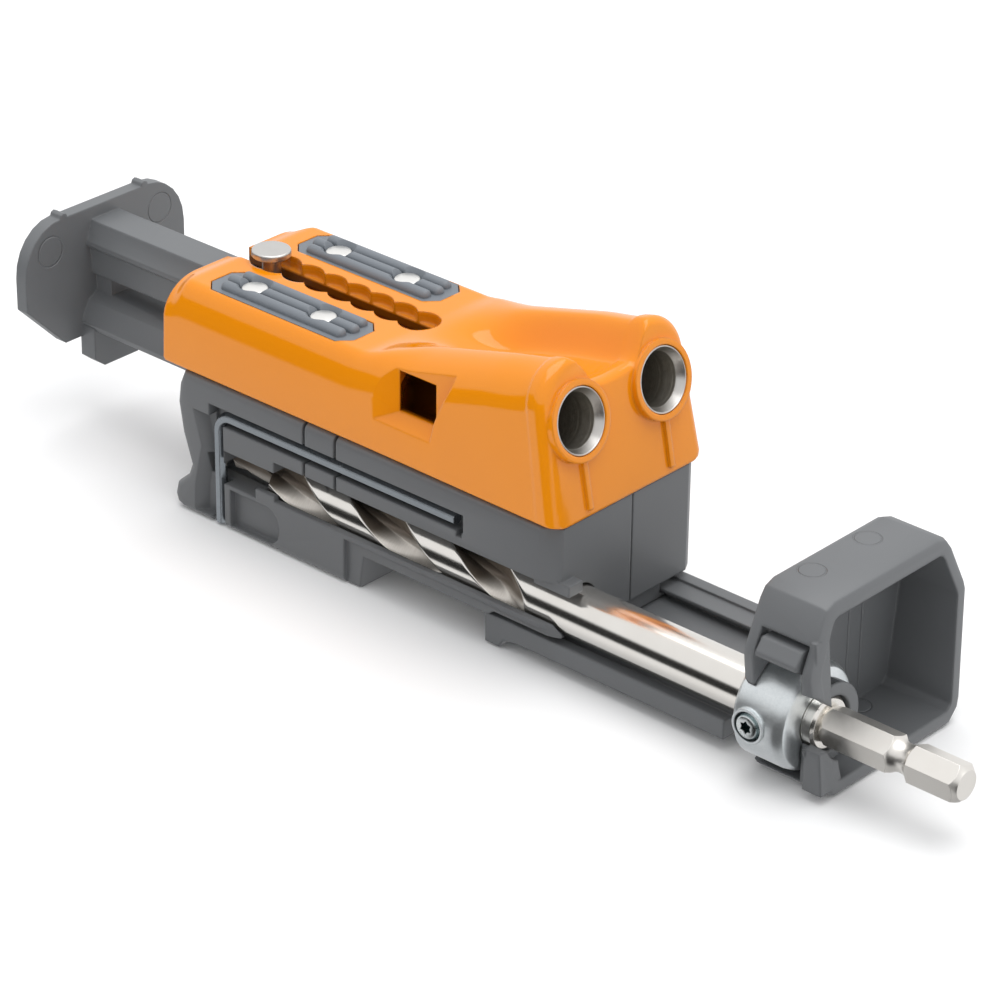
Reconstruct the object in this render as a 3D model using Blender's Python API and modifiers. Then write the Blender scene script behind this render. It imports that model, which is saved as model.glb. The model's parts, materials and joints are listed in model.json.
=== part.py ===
"""Pocket hole jig lying on its bit holder.

The frame: +X runs from the stop plate to the hex shank, -Y is the side with
the drill, +Z is up and z = 0 is the surface the holder stands on.
Every piece is laid out from the datum, an empty on the jig's underside at the
middle of its rear end.
"""

import math

import bmesh
import bpy
from mathutils import Matrix, Vector

# Clearances, in metres.
TOUCH_GAP = 0.0003
RUNNING_GAP = 0.0003
BORE_GAP = 0.00015
OVERRUN = 0.006
OVERLAP = 0.0008
WELD_DISTANCE = 0.00001

# The datum: the jig's underside above the floor.
UNDERSIDE_HEIGHT = 0.0290

# Jig body casting.
JIG_LENGTH = 0.0953
JIG_REAR_BOTTOM_HALF = 0.0195
JIG_FRONT_BOTTOM_HALF = 0.0199
JIG_REAR_SHOULDER_HALF = 0.0192
JIG_FRONT_SHOULDER_HALF = 0.0187
JIG_TOP = 0.0165
JIG_REAR_LIP_TOP = 0.0156
JIG_REAR_LIP_RUN = 0.0040
JIG_REAR_FLAT_HALF = 0.0108
JIG_FLAT_HALF = 0.0153
JIG_REAR_SHOULDER_HEIGHT = 0.0088
JIG_FRONT_SHOULDER_HEIGHT = 0.0205
JIG_RISE_START = 0.0460
JIG_RISE_BLEND = 0.0060
JIG_RIDGE_FRONT = 0.0280
JIG_RIDGE_SETBACK = 0.0053
JIG_VALLEY_DEPTH = 0.0062
JIG_VALLEY_FALL = 0.0210
JIG_VALLEY_RUN = 0.0160
JIG_NOSE_RADIUS = 0.0030
JIG_NOSE_SIDE_INSET = 0.0026
JIG_BOTTOM_RADIUS = 0.0012
BARREL_ANGLE = math.radians(15)
FACE_SLOPE_SHARE = 0.20

# Guide bushes.
BUSH_SPACING = 0.0215
BUSH_MOUTH_SETBACK = 0.0030
BUSH_MOUTH_X = JIG_LENGTH - BUSH_MOUTH_SETBACK
BUSH_MOUTH_Z = 0.0170
BUSH_RADIUS = 0.0064
BUSH_CHAMFER_RADIUS = 0.0060
BUSH_CHAMFER_DEPTH = 0.0012
BUSH_LENGTH = 0.0245
BUSH_PROUD = 0.0006
RING_RADIUS = 0.0076
RING_PROUD = 0.0007
RING_DEPTH = 0.0060
RIB_HALF = 0.0008
RIB_PROUD = 0.0007
RIB_DEPTH = 0.0040

# Grip pads and their magnets.
PAD_START = 0.0072
PAD_END = 0.0423
PAD_INNER = 0.0065
PAD_OUTER = 0.0157
PAD_CORNER = 0.0023
PAD_RECESS = 0.0016
PAD_TOP_DROP = 0.0003
PAD_RIB_RADIUS = 0.0011
PAD_RIB_SPACING = 0.0028
PAD_RIB_RISE = 0.0004
PAD_RIB_END = 0.0026
MAGNET_RADIUS = 0.0024
MAGNET_REAR_X = 0.0152
MAGNET_FRONT_X = 0.0324
MAGNET_OFFSET = 0.0108
MAGNET_BOTTOM = 0.0140
MAGNET_TOP = 0.0172
MAGNET_RIB_GAP = 0.0008

# Scalloped slot in the top.
SCALLOP_FIRST_X = 0.0109
SCALLOP_PITCH = 0.00577
SCALLOP_COUNT = 7
SCALLOP_RADIUS = 0.0039
SCALLOP_FLOOR = 0.0143
PIN_X = 0.0086
STOP_TRAVEL = 0.0336
SLOT_HALF = 0.0027

# Side pockets with the chip windows.
POCKET_FLOOR_HALF = 0.0169
POCKET_RIM_HALF = 0.0220
WINDOW_FROM_FRONT = 0.0300
WINDOW_LENGTH = 0.0083
WINDOW_LOW = 0.0087
WINDOW_HIGH = 0.0167
WINDOW_INNER_HALF = 0.0085
# Corners at the pocket's floor and out past the casting's side, as shares of the
# bush's length behind the front and shares of the ridge's height.
POCKET_FLOOR_SHARES = (
    (1.580, 0.307), (1.224, 0.307), (1.163, 0.446),
    (1.053, 0.643), (0.992, 0.839), (1.624, 0.839),
)
POCKET_RIM_SHARES = (
    (1.931, 0.168), (1.171, 0.168), (1.094, 0.446),
    (0.992, 0.643), (0.931, 0.839), (1.971, 0.839),
)

# Locating lug of the holder and its pocket in the casting.
LUG_FROM_FRONT = 0.0073
LUG_LENGTH = 0.0120
LUG_END = JIG_LENGTH - LUG_FROM_FRONT
LUG_START = LUG_END - LUG_LENGTH
LUG_HALF = 0.0117
LUG_HEIGHT = 0.0026

# Stop slide: bar, plate, runner and foot.
BAR_START = -0.0360
BAR_END = 0.0140
BAR_TOP = 0.0121
BAR_TOP_HALF = 0.0036
BAR_SHOULDER_HALF = 0.0046
BAR_SHOULDER_HEIGHT = 0.0086
BAR_RIB_TOP = 0.0082
BAR_RIB_BOTTOM = 0.0073
BAR_RIB_HALF = 0.0050
BAR_WAIST_HALF = 0.0040
BAR_WAIST_HEIGHT = 0.0064
BAR_BOTTOM_HALF = 0.0038
BAR_BOTTOM = 0.0012
PLATE_THICKNESS = 0.0028
PLATE_HALF = 0.0204
PLATE_TOP = 0.0146
PLATE_NUB_CENTRE = 0.0104
PLATE_NUB_RADIUS = 0.0009
PLATE_NUB_STEPS = 4
PLATE_ARC_END = 0.0045
PLATE_CHAMFER_TOP = -0.0018
PLATE_BOTTOM = -0.0111
PLATE_BOTTOM_HALF = 0.0112
PLATE_ARC_STEPS = 6
RUNNER_TOP = -0.0026
RUNNER_TOP_HALF = 0.0025
RUNNER_ARCH_HALF = 0.0050
RUNNER_ARCH = -0.0040
RUNNER_SIDE_HALF = 0.0064
RUNNER_SIDE = -0.0066
RUNNER_HALF = 0.0069
RUNNER_LEDGE = -0.0080
RUNNER_BOTTOM = -0.0094
RUNNER_BOTTOM_HALF = 0.0062
FOOT_THICKNESS = 0.0031
FOOT_HALF = 0.0066
FOOT_KNEE = -0.0153
FOOT_BOTTOM = -0.0172
FOOT_BOTTOM_HALF = 0.0043
WEB_LENGTH = 0.0042
WEB_HALF = 0.0028

# Lock pin, its spring and its clip.
PIN_HEAD_RADIUS = 0.00365
PIN_HEAD_TOP = 0.0189
PIN_HEAD_RIM = 0.0177
PIN_HEAD_UNDER = 0.0169
PIN_HEAD_EDGE = 0.0003
PIN_RADIUS = 0.00175
PIN_BOTTOM = 0.0032
PIN_GROOVE_RADIUS = 0.0012
CLIP_BOTTOM = 0.0040
CLIP_THICKNESS = 0.0006
CLIP_RADIUS = 0.00245
SPRING_POCKET_RADIUS = 0.0028
SPRING_POCKET_TOP = 0.0106
SPRING_RADIUS = 0.00228
SPRING_WIRE = 0.00022
SPRING_TURNS = 5
SPRING_POINTS_PER_TURN = 10

# Bit holder.
HOLDER_HALF = 0.0192
HOLDER_SPLIT = 0.0008
HOLDER_TOP = -TOUCH_GAP
HOLDER_FRONT = JIG_LENGTH - TOUCH_GAP
HOLDER_BOTTOM = -UNDERSIDE_HEIGHT
HOLDER_WALL_RISE = 0.0065
HOLDER_WALL_BOTTOM = HOLDER_BOTTOM + HOLDER_WALL_RISE
HOLDER_BLOCK_RISE = 0.0075
HOLDER_BLOCK_BOTTOM = HOLDER_BOTTOM + HOLDER_BLOCK_RISE
HOLDER_BLOCK_LENGTH = 0.0160
HOLDER_BLOCK_START = HOLDER_FRONT - HOLDER_BLOCK_LENGTH
HOLDER_FOOT_END = 0.0484
HOLDER_FOOT_RISE_END = 0.0494
HOLDER_EDGE = 0.0014
HOLDER_REAR_DEPTH = 0.0057
# The left end from its top down, as shares of that depth and of the height.
HOLDER_REAR_SHARES = (
    (0.79, 0.000), (0.55, 0.108), (0.46, 0.235), (0.64, 0.445), (1.00, 0.655),
    (0.84, 0.740), (0.32, 0.830), (0.21, 0.915), (0.32, 0.979), (0.60, 1.000),
)
HOLDER_CHAMFER_RUN = 0.0039
HOLDER_CHAMFER_DEPTH = 0.0019
HOLDER_CORNER_RADIUS = 0.0045
CHANNEL_HALF = RUNNER_HALF + RUNNING_GAP
CHANNEL_CLEARANCE = 0.0004
CHANNEL_BOTTOM = RUNNER_BOTTOM - CHANNEL_CLEARANCE
CAVITY_ROOF = 0.0017
CAVITY_RISE = 0.0090
CAVITY_TOP = CHANNEL_BOTTOM - CAVITY_ROOF
CAVITY_BOTTOM = HOLDER_BOTTOM + CAVITY_RISE
CAVITY_START_SHARES = (0.116, 0.311, 0.574, 0.737)
CAVITY_END_SHARES = (0.295, 0.500, 0.721, 0.895)
CAVITY_NEAR_HALF = 0.0064
CAVITY_FAR_HALF = 0.0165
SIDE_RECESS_START = 0.0162
SIDE_RECESS_LENGTH = 0.0126
SIDE_RECESS_HEIGHT = 0.0076
SIDE_RECESS_RISE = 0.0008
SIDE_RECESS_RADIUS = 0.0033
SIDE_RECESS_FLOOR = 0.0178
SIDE_STEP_START = 0.0451
SIDE_STEP_RISE = 0.0090
SIDE_STEP_DEPTH = 0.0008
BAND_SLIT_PLACES = (0.0353, 0.0430)
BAND_SLIT_HALF = 0.00035
BAND_SLIT_FLOOR = 0.0154
KEEL_START = 0.0570
KEEL_SETBACK = 0.0010
KEEL_END = HOLDER_FRONT - KEEL_SETBACK
KEEL_HALF = 0.0102
KEEL_RISE = 0.0039
KEEL_BOTTOM = HOLDER_BOTTOM + KEEL_RISE
KEEL_TONGUE_HALF = 0.0117
KEEL_TONGUE_THICKNESS = 0.0008
KEEL_TONGUE_TOP = KEEL_BOTTOM + KEEL_TONGUE_THICKNESS
SCREW_REAR_SHARE = 0.537
SCREW_FRONT_SHARE = 0.932
SCREW_REAR_X = HOLDER_FRONT * SCREW_REAR_SHARE
SCREW_FRONT_X = HOLDER_FRONT * SCREW_FRONT_SHARE
SCREW_RISE = 0.0135
SCREW_Z = HOLDER_BOTTOM + SCREW_RISE
SCREW_HEAD_RADIUS = 0.0027
SCREW_HEAD_HEIGHT = 0.0018
SCREW_HEAD_SINK = 0.0004
SCREW_RADIUS = 0.0013
SCREW_TIP = -0.0062
SCREW_SOCKET_RADIUS = 0.0012
SCREW_SOCKET_DEPTH = 0.0010

# Drill and its cradle.
DRILL_Y = -0.0130
DRILL_HEIGHT = 0.0113
DRILL_Z = HOLDER_BOTTOM + DRILL_HEIGHT
DRILL_TIP_X = 0.0108
DRILL_RADIUS = 0.00475
PILOT_RADIUS = 0.0020
PILOT_TIP = 0.0012
PILOT_END = 0.0119
STEP_END = 0.0140
FLUTE_END = 0.0770
SHANK_END = 0.1372
FLANGE_RADIUS = 0.0048
FLANGE_END = 0.1388
HEX_FLAT = 0.00635
HEX_FIRST_END = 0.1520
HEX_GROOVE_RADIUS = 0.0026
HEX_GROOVE_START = 0.1530
HEX_GROOVE_END = 0.1560
HEX_SECOND_START = 0.1572
DRILL_LENGTH = 0.1664
HEX_CHAMFER = 0.0010
FLUTE_HALF_LEAD = 0.0250
FLUTE_PHASE = math.radians(-7)
FLUTE_CORE_SHARE = 0.36
FLUTE_STATIONS = 54
FLUTE_POINTS = 24
FLUTE_EDGE_LOW = -0.25
FLUTE_EDGE_RUN = 0.9
FLUTE_RUN_OUT = 0.010
PILOT_STATIONS = 8
TIP_SHARE = 0.12
HEX_TURN = math.radians(30)
CRADLE_GAP = 0.00035
CRADLE_START = 0.0095
CRADLE_WIDE_START = 0.0218
CRADLE_MOUTH_START = 0.0149
# Heights in the cradle, measured from the drill's axis.
CRADLE_LIP_DROP = 0.0003
CRADLE_MOUTH_DROP = 0.0013
CRADLE_MOUTH_RISE = 0.0046
CRADLE_RAISE_RISE = 0.0068
SNAP_TAB_RISE = 0.0051
SNAP_TAB_THICKNESS = 0.0013
CRADLE_LIP = DRILL_Z - CRADLE_LIP_DROP
CRADLE_MOUTH_LOW = DRILL_Z - CRADLE_MOUTH_DROP
CRADLE_MOUTH_HIGH = DRILL_Z + CRADLE_MOUTH_RISE
CRADLE_RAISE_START = 0.0276
CRADLE_RAISE_TOP = DRILL_Z + CRADLE_RAISE_RISE
CRADLE_RAISE_FLOOR = 0.0155
SNAP_TAB_LENGTH = 0.0060
SNAP_TAB_OVERHANG = 0.0020
SNAP_TAB_START = HOLDER_FRONT - SNAP_TAB_LENGTH
SNAP_TAB_END = HOLDER_FRONT + SNAP_TAB_OVERHANG
SNAP_TAB_OUTER = 0.0178
SNAP_TAB_INNER = 0.0143
SNAP_TAB_LOW = DRILL_Z + SNAP_TAB_RISE
SNAP_TAB_HIGH = SNAP_TAB_LOW + SNAP_TAB_THICKNESS

# Hex key and its L-shaped slot.
KEY_FLAT = 0.0020
KEY_Y = -0.0181
KEY_SHORT_X = 0.0130
KEY_LONG_Z = -0.0065
KEY_BEND = 0.0032
KEY_LONG_END = 0.0715
KEY_FOOT_GAP = 0.0004
KEY_SHORT_END = HOLDER_BOTTOM + KEY_FOOT_GAP
KEY_BEND_STEPS = 6
KEY_SLOT_HALF = 0.0018
KEY_SLOT_FLOOR = 0.0166
KEY_END_GAP = 0.0023
KEY_SLOT_END = KEY_LONG_END + KEY_END_GAP
KEY_NOTCH_LENGTH = 0.0017
KEY_NOTCH_DROP = 0.0028
VALLEY_RIM_HALF = 0.0212
VALLEY_FLOOR_HALF = 0.0172
VALLEY_LEAN = 0.0018
# The edge of the hollow left of the key from its top down, as shares of the
# key's distance from the rear and of the holder's height.
VALLEY_EDGE_SHARES = ((0.54, 0.245), (0.70, 0.483), (0.55, 0.779), (0.53, 0.965))

# Gauge slide: trough, foot and the housing for the collar.
TROUGH_UNDER_HOLDER = 0.0175
TROUGH_START = HOLDER_FRONT - TROUGH_UNDER_HOLDER
TROUGH_HALF = 0.0173
TROUGH_RIM_INNER = 0.0148
TROUGH_INNER = 0.0105
TROUGH_GROOVE = 0.0120
TROUGH_RIM_RISE = 0.0060
TROUGH_STEP_DROP = 0.0004
TROUGH_RIM_TOP = HOLDER_BOTTOM + TROUGH_RIM_RISE
TROUGH_STEP = TROUGH_RIM_TOP - TROUGH_STEP_DROP
TROUGH_GROOVE_TOP = KEEL_TONGUE_TOP + RUNNING_GAP
TROUGH_FLOOR = KEEL_BOTTOM - RUNNING_GAP
TROUGH_FLOOR_THICKNESS = 0.0012
TROUGH_BOTTOM = TROUGH_FLOOR - TROUGH_FLOOR_THICKNESS
TROUGH_FOOT_BOTTOM = HOLDER_BOTTOM + TOUCH_GAP
TROUGH_FOOT_LENGTH = 0.0033
TROUGH_FOOT_FILLET = 0.0042
TROUGH_FOOT_END = TROUGH_START + TROUGH_FOOT_LENGTH
TROUGH_FOOT_FILLET_END = TROUGH_FOOT_END + TROUGH_FOOT_FILLET
TROUGH_FOOT_FILLET_STEP = 0.0010
HOUSING_BACK = 0.1370
HOUSING_FRONT_TOP = 0.1503
HOUSING_FRONT_BOTTOM = 0.1537
HOUSING_TOP = 0.0060
HOUSING_BOTTOM = HOLDER_BOTTOM
HOUSING_WIDE_HALF = 0.0213
# The section from its bottom up, as shares of the half width and of the height.
HOUSING_SHARES = (
    (0.746, 0.000), (0.864, 0.063), (0.892, 0.114), (0.986, 0.600), (1.000, 0.669),
    (0.981, 0.714), (0.826, 0.926), (0.765, 0.977), (0.657, 1.000),
)
HOUSING_EDGE = 0.0013
HOUSING_EDGE_SHARE = 0.3
HOUSING_WALL = 0.0028
HOUSING_BACK_WALL = 0.0025
COLLAR_GAP = 0.0003
CAGE_WINDOW_START = 0.1396
CAGE_WINDOW_END = 0.1495
CAGE_WINDOW_RISE = 0.0172
CAGE_WINDOW_TOP = DRILL_Z + CAGE_WINDOW_RISE
LATCH_ROOT_START = 0.1385
LATCH_START = 0.1405
LATCH_END = 0.1488
LATCH_NOSE = 0.0220
LATCH_SHOULDER = 0.0203
LATCH_ROOT = 0.0196
LATCH_INNER = 0.0166
LATCH_RISE = 0.0122
LATCH_HEIGHT = 0.0039
LATCH_NOSE_SHARES = (0.25, 0.45)
LATCH_BOTTOM = DRILL_Z + LATCH_RISE
LATCH_TOP = LATCH_BOTTOM + LATCH_HEIGHT
YOKE_START = 0.1495
YOKE_RING_END = 0.1498
YOKE_RADIUS = 0.0074
YOKE_STEP = 0.0001
YOKE_POST_HALF = 0.0195
YOKE_POST_INNER = 0.0160
YOKE_FOOT_INNER = 0.0150
YOKE_FOOT_REACH = 0.0139
# Heights in the yoke, measured from the drill's axis.
YOKE_POST_HIGH = 0.0180
YOKE_MOUTH_HIGH = 0.0050
YOKE_MOUTH_LOW = 0.0018
YOKE_FOOT_KNEE = 0.0036
YOKE_FOOT_DROP = 0.0096
YOKE_FLARE = 0.0034

# Stop collar and its grub screw.
COLLAR_START = 0.1365
COLLAR_LENGTH = 0.0107
COLLAR_END = COLLAR_START + COLLAR_LENGTH
COLLAR_RADIUS = 0.00975
COLLAR_CHAMFER = 0.0008
COLLAR_ROUND_RUN = 0.0023
COLLAR_ROUND_DEPTH = 0.0016
GRUB_X = 0.1403
GRUB_RADIUS = 0.0024
GRUB_PROUD = 0.0007
GRUB_BOSS_RADIUS = 0.0032
GRUB_BOSS_PROUD = 0.0003
GRUB_TIP_GAP = 0.0002
GRUB_SOCKET_FLAT = 0.0021
GRUB_SOCKET_DEPTH = 0.0020

# Facet counts.
SIDES_SMALL = 24
SIDES_LARGE = 40
HEX_SIDES = 6
RIB_SIDES = 12
ARC_STEPS = 6
TOP_STEPS = 7
EDGE_STEPS = 3
CORNER_STEPS = 3

# The two sides of the middle plane, and directions and units.
SIDES = ((-1, "near"), (1, "far"))
SHARP_ANGLE = math.radians(35)
MILLIMETRE = 0.001
AXIS_Z = Vector((0, 0, 1))


def clear_scene():
    """Remove the objects that the scene starts with."""
    for item in list(bpy.data.objects):
        bpy.data.objects.remove(item, do_unlink=True)


def new_collection(name):
    """A collection linked to the scene."""
    collection = bpy.data.collections.new(name)
    bpy.context.scene.collection.children.link(collection)
    return collection


def make_material(name, colour, roughness, metallic):
    """A plain Principled material."""
    material = bpy.data.materials.new(name)
    material.use_nodes = True
    shader = material.node_tree.nodes["Principled BSDF"]
    shader.inputs["Base Color"].default_value = (*colour, 1.0)
    shader.inputs["Roughness"].default_value = roughness
    shader.inputs["Metallic"].default_value = metallic
    return material


def add_object(name, mesh, location=(0, 0, 0)):
    """An object on the datum, shaded smooth up to its sharp edges."""
    item = bpy.data.objects.new(name, mesh)
    item.location = location
    item.parent = DATUM
    PARTS.objects.link(item)
    return item


def as_part(item, material):
    """Finish a visible piece."""
    item.data.materials.clear()
    item.data.materials.append(material)
    item.data.shade_smooth()
    item.data.set_sharp_from_angle(angle=SHARP_ANGLE)
    return item


def as_cutter(item):
    """Move an object to the cutters and hide it from the build."""
    PARTS.objects.unlink(item)
    CUTTERS.objects.link(item)
    item.hide_render = True
    item.display_type = 'WIRE'
    return item


def mesh_from(name, shape):
    """Turn a bmesh into a mesh with its faces pointing out."""
    bmesh.ops.recalc_face_normals(shape, faces=shape.faces)
    mesh = bpy.data.meshes.new(name)
    shape.to_mesh(mesh)
    shape.free()
    return mesh


def datum_place():
    """Where the datum lies, with the whole part centred over the origin."""
    front = DRILL_TIP_X + DRILL_LENGTH
    rear = BAR_START - PLATE_THICKNESS
    near = DRILL_Y - COLLAR_RADIUS - GRUB_PROUD
    far = HOUSING_WIDE_HALF
    return (-(front + rear) / 2, -(near + far) / 2, UNDERSIDE_HEIGHT)


def box(name, low, high):
    """A box between two corners."""
    low = Vector(low)
    high = Vector(high)
    shape = bmesh.new()
    bmesh.ops.create_cube(shape, size=1.0)
    bmesh.ops.scale(shape, vec=high - low, verts=shape.verts)
    bmesh.ops.translate(shape, vec=(high + low) / 2, verts=shape.verts)
    return add_object(name, mesh_from(name, shape))


def rod(name, start, end, radius, sides, end_radius=None, turn=0.0):
    """A cylinder, cone or regular prism from one point to another."""
    start = Vector(start)
    end = Vector(end)
    if end_radius is None:
        end_radius = radius
    shape = bmesh.new()
    bmesh.ops.create_cone(shape, cap_ends=True, segments=sides, radius1=radius,
                          radius2=end_radius, depth=(end - start).length)
    aim = AXIS_Z.rotation_difference(end - start).to_matrix().to_4x4()
    spin = Matrix.Rotation(turn, 4, 'Z')
    place = Matrix.Translation((start + end) / 2)
    bmesh.ops.transform(shape, matrix=place @ aim @ spin, verts=shape.verts)
    return add_object(name, mesh_from(name, shape))


def rod_x(name, start, end, y, z, radius, sides, end_radius=None, turn=0.0):
    """A cylinder along X."""
    return rod(name, (start, y, z), (end, y, z), radius, sides, end_radius, turn)


def outline_prism(name, outline, start, end, along):
    """A flat outline given thickness along X, Y or Z.

    The outline's points are (y, z) along X, (x, z) along Y and (x, y) along Z.
    """
    curve = bpy.data.curves.new(name, 'CURVE')
    curve.dimensions = '2D'
    curve.fill_mode = 'BOTH'
    curve.extrude = (end - start) / 2
    spline = curve.splines.new('POLY')
    spline.points.add(len(outline) - 1)
    for point, (across, up) in zip(spline.points, outline):
        point.co = (across, up, 0, 1)
    spline.use_cyclic_u = True
    flat = bpy.data.objects.new(name + "_outline", curve)
    PARTS.objects.link(flat)
    bpy.context.view_layer.update()
    graph = bpy.context.evaluated_depsgraph_get()
    mesh = bpy.data.meshes.new_from_object(flat.evaluated_get(graph))
    bpy.data.objects.remove(flat, do_unlink=True)
    middle = (start + end) / 2
    turns = {
        'X': Matrix(((0, 0, 1, middle), (1, 0, 0, 0), (0, 1, 0, 0), (0, 0, 0, 1))),
        'Y': Matrix(((1, 0, 0, 0), (0, 0, 1, middle), (0, 1, 0, 0), (0, 0, 0, 1))),
        'Z': Matrix(((1, 0, 0, 0), (0, 1, 0, 0), (0, 0, 1, middle), (0, 0, 0, 1))),
    }
    shape = bmesh.new()
    shape.from_mesh(mesh)
    bpy.data.meshes.remove(mesh)
    bmesh.ops.remove_doubles(shape, verts=shape.verts, dist=WELD_DISTANCE)
    bmesh.ops.transform(shape, matrix=turns[along], verts=shape.verts)
    return add_object(name, mesh_from(name, shape))


def loft(name, rings, location=(0, 0, 0)):
    """A closed skin over rings of equal point counts, capped at both ends."""
    shape = bmesh.new()
    rows = [[shape.verts.new(point) for point in ring] for ring in rings]
    for first, second in zip(rows, rows[1:]):
        for i in range(len(first)):
            j = (i + 1) % len(first)
            shape.faces.new((first[i], first[j], second[j], second[i]))
    bmesh.ops.triangulate(shape, faces=shape.faces)
    shape.faces.new(rows[0][::-1])
    shape.faces.new(rows[-1])
    return add_object(name, mesh_from(name, shape), location)


def shrunk(outline, amount):
    """An outline moved inwards by an even amount, its points running with the inside on their left."""
    moved = []
    for i, point in enumerate(outline):
        point = Vector(point)
        before = (point - Vector(outline[i - 1])).normalized()
        after = (Vector(outline[(i + 1) % len(outline)]) - point).normalized()
        corner = Vector((-before.y - after.y, before.x + after.x))
        moved.append(tuple(point + corner * 2 * amount / corner.length_squared))
    return moved


def rounded_block(name, outline, half, radius):
    """A side outline given thickness along Y, with both rims rounded."""
    rings = []
    for side in (-1, 1):
        for i in range(EDGE_STEPS + 1):
            share = i / EDGE_STEPS if side < 0 else 1 - i / EDGE_STEPS
            angle = math.pi / 2 * share
            y = side * (half - radius * (1 - math.cos(angle)))
            inset = radius * (1 - math.sin(angle))
            rings.append([(x, y, z) for x, z in shrunk(outline, inset)])
    return loft(name, rings)


def corner_cutter(name, line, low, high):
    """A prism along Z outside a line of (x, y) points that crosses one corner."""
    first = Vector(line[0])
    last = Vector(line[-1])
    start = 2 * first - Vector(line[1])
    end = 2 * last - Vector(line[-2])
    outline = [tuple(start)] + list(line) + [tuple(end), (max(start.x, end.x), start.y)]
    return outline_prism(name, outline, low, high, 'Z')


def turned(name, profile, location, lean=0.0):
    """A piece turned about Z from (radius, height) points, then leant about Y."""
    mesh = bpy.data.meshes.new(name)
    shape = bmesh.new()
    points = [shape.verts.new((radius, 0, height)) for radius, height in profile]
    for first, second in zip(points, points[1:]):
        shape.edges.new((first, second))
    if profile[0][0] > 0:
        shape.edges.new((points[-1], points[0]))
    shape.to_mesh(mesh)
    shape.free()
    item = add_object(name, mesh, location)
    item.rotation_euler = (0, lean, 0)
    screw = item.modifiers.new("Turn", 'SCREW')
    screw.steps = SIDES_LARGE
    screw.render_steps = SIDES_LARGE
    screw.use_merge_vertices = True
    screw.merge_threshold = WELD_DISTANCE
    return item


def cut(item, cutter):
    """Take a cutter out of a piece."""
    change = item.modifiers.new(cutter.name, 'BOOLEAN')
    change.operation = 'DIFFERENCE'
    change.solver = 'EXACT'
    change.object = as_cutter(cutter)


def join(item, addition):
    """Add a shape to a piece."""
    change = item.modifiers.new(addition.name, 'BOOLEAN')
    change.operation = 'UNION'
    change.solver = 'EXACT'
    change.object = as_cutter(addition)


def mirrored(outline):
    """A half outline at positive first coordinate, closed by its mirror."""
    return list(outline) + [(-across, up) for across, up in reversed(outline)]


def smooth_step(value):
    """Rise from 0 to 1 with level ends."""
    value = min(max(value, 0.0), 1.0)
    return value * value * (3 - 2 * value)


def mix(first, second, share):
    """The value that far between two others."""
    return first + (second - first) * share


def bush_point(side, distance):
    """A point on a bush's axis, measured out of its mouth."""
    return Vector((BUSH_MOUTH_X + distance * math.cos(BARREL_ANGLE),
                   side * BUSH_SPACING / 2,
                   BUSH_MOUTH_Z + distance * math.sin(BARREL_ANGLE)))


def jig_ridge(x):
    """Height of the ridges over the bushes: level, then rising with them."""
    slope = math.tan(BARREL_ANGLE)
    lean = smooth_step((x - JIG_RISE_START) / (JIG_LENGTH - JIG_RISE_START))
    rise = JIG_RIDGE_FRONT - (JIG_LENGTH - JIG_RIDGE_SETBACK - x) * slope
    rise = rise / (1 + FACE_SLOPE_SHARE * slope * lean)
    blend = smooth_step((x - JIG_RISE_START + JIG_RISE_BLEND) / (2 * JIG_RISE_BLEND))
    top = mix(JIG_TOP, max(rise, JIG_TOP), blend)
    lip = smooth_step(x / JIG_REAR_LIP_RUN)
    return mix(JIG_REAR_LIP_TOP, top, lip)


def jig_section(x, inset):
    """The casting's outline at a distance from its rear, as (y, z) points."""
    forward = smooth_step((x - JIG_RISE_START) / (JIG_LENGTH - JIG_RISE_START))
    lip = smooth_step(x / JIG_REAR_LIP_RUN)
    bottom = mix(JIG_REAR_BOTTOM_HALF, JIG_FRONT_BOTTOM_HALF, forward)
    shoulder = mix(JIG_REAR_SHOULDER_HALF, JIG_FRONT_SHOULDER_HALF, forward)
    climb = min(max((x - JIG_RISE_START) / (JIG_LENGTH - JIG_RISE_START), 0.0), 1.0)
    shoulder_z = mix(JIG_REAR_SHOULDER_HEIGHT, JIG_FRONT_SHOULDER_HEIGHT, climb)
    flat = mix(mix(JIG_REAR_FLAT_HALF, JIG_FLAT_HALF, lip), BUSH_SPACING / 2,
               smooth_step((x - JIG_RISE_START) / JIG_VALLEY_RUN))
    ridge = jig_ridge(x)
    valley = JIG_VALLEY_DEPTH * smooth_step((x - JIG_RISE_START) / JIG_VALLEY_FALL)
    narrow = 1 - inset * JIG_NOSE_SIDE_INSET / JIG_FRONT_BOTTOM_HALF
    drop = inset * JIG_NOSE_RADIUS / 2
    half = [(bottom - JIG_BOTTOM_RADIUS, 0), (bottom, JIG_BOTTOM_RADIUS)]
    for i in range(ARC_STEPS + 1):
        angle = math.pi / 2 * i / ARC_STEPS
        half.append((flat + (shoulder - flat) * math.cos(angle),
                     shoulder_z + (ridge - shoulder_z) * math.sin(angle)))
    for i in range(1, TOP_STEPS + 1):
        share = i / TOP_STEPS
        dip = valley * (1 - math.cos(math.pi * share)) / 2
        half.append((flat * (1 - share), ridge - dip))
    half = [(y * narrow, z - drop * smooth_step(z / JIG_TOP)) for y, z in half]
    return half + [(-y, z) for y, z in reversed(half[:-1])]


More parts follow.
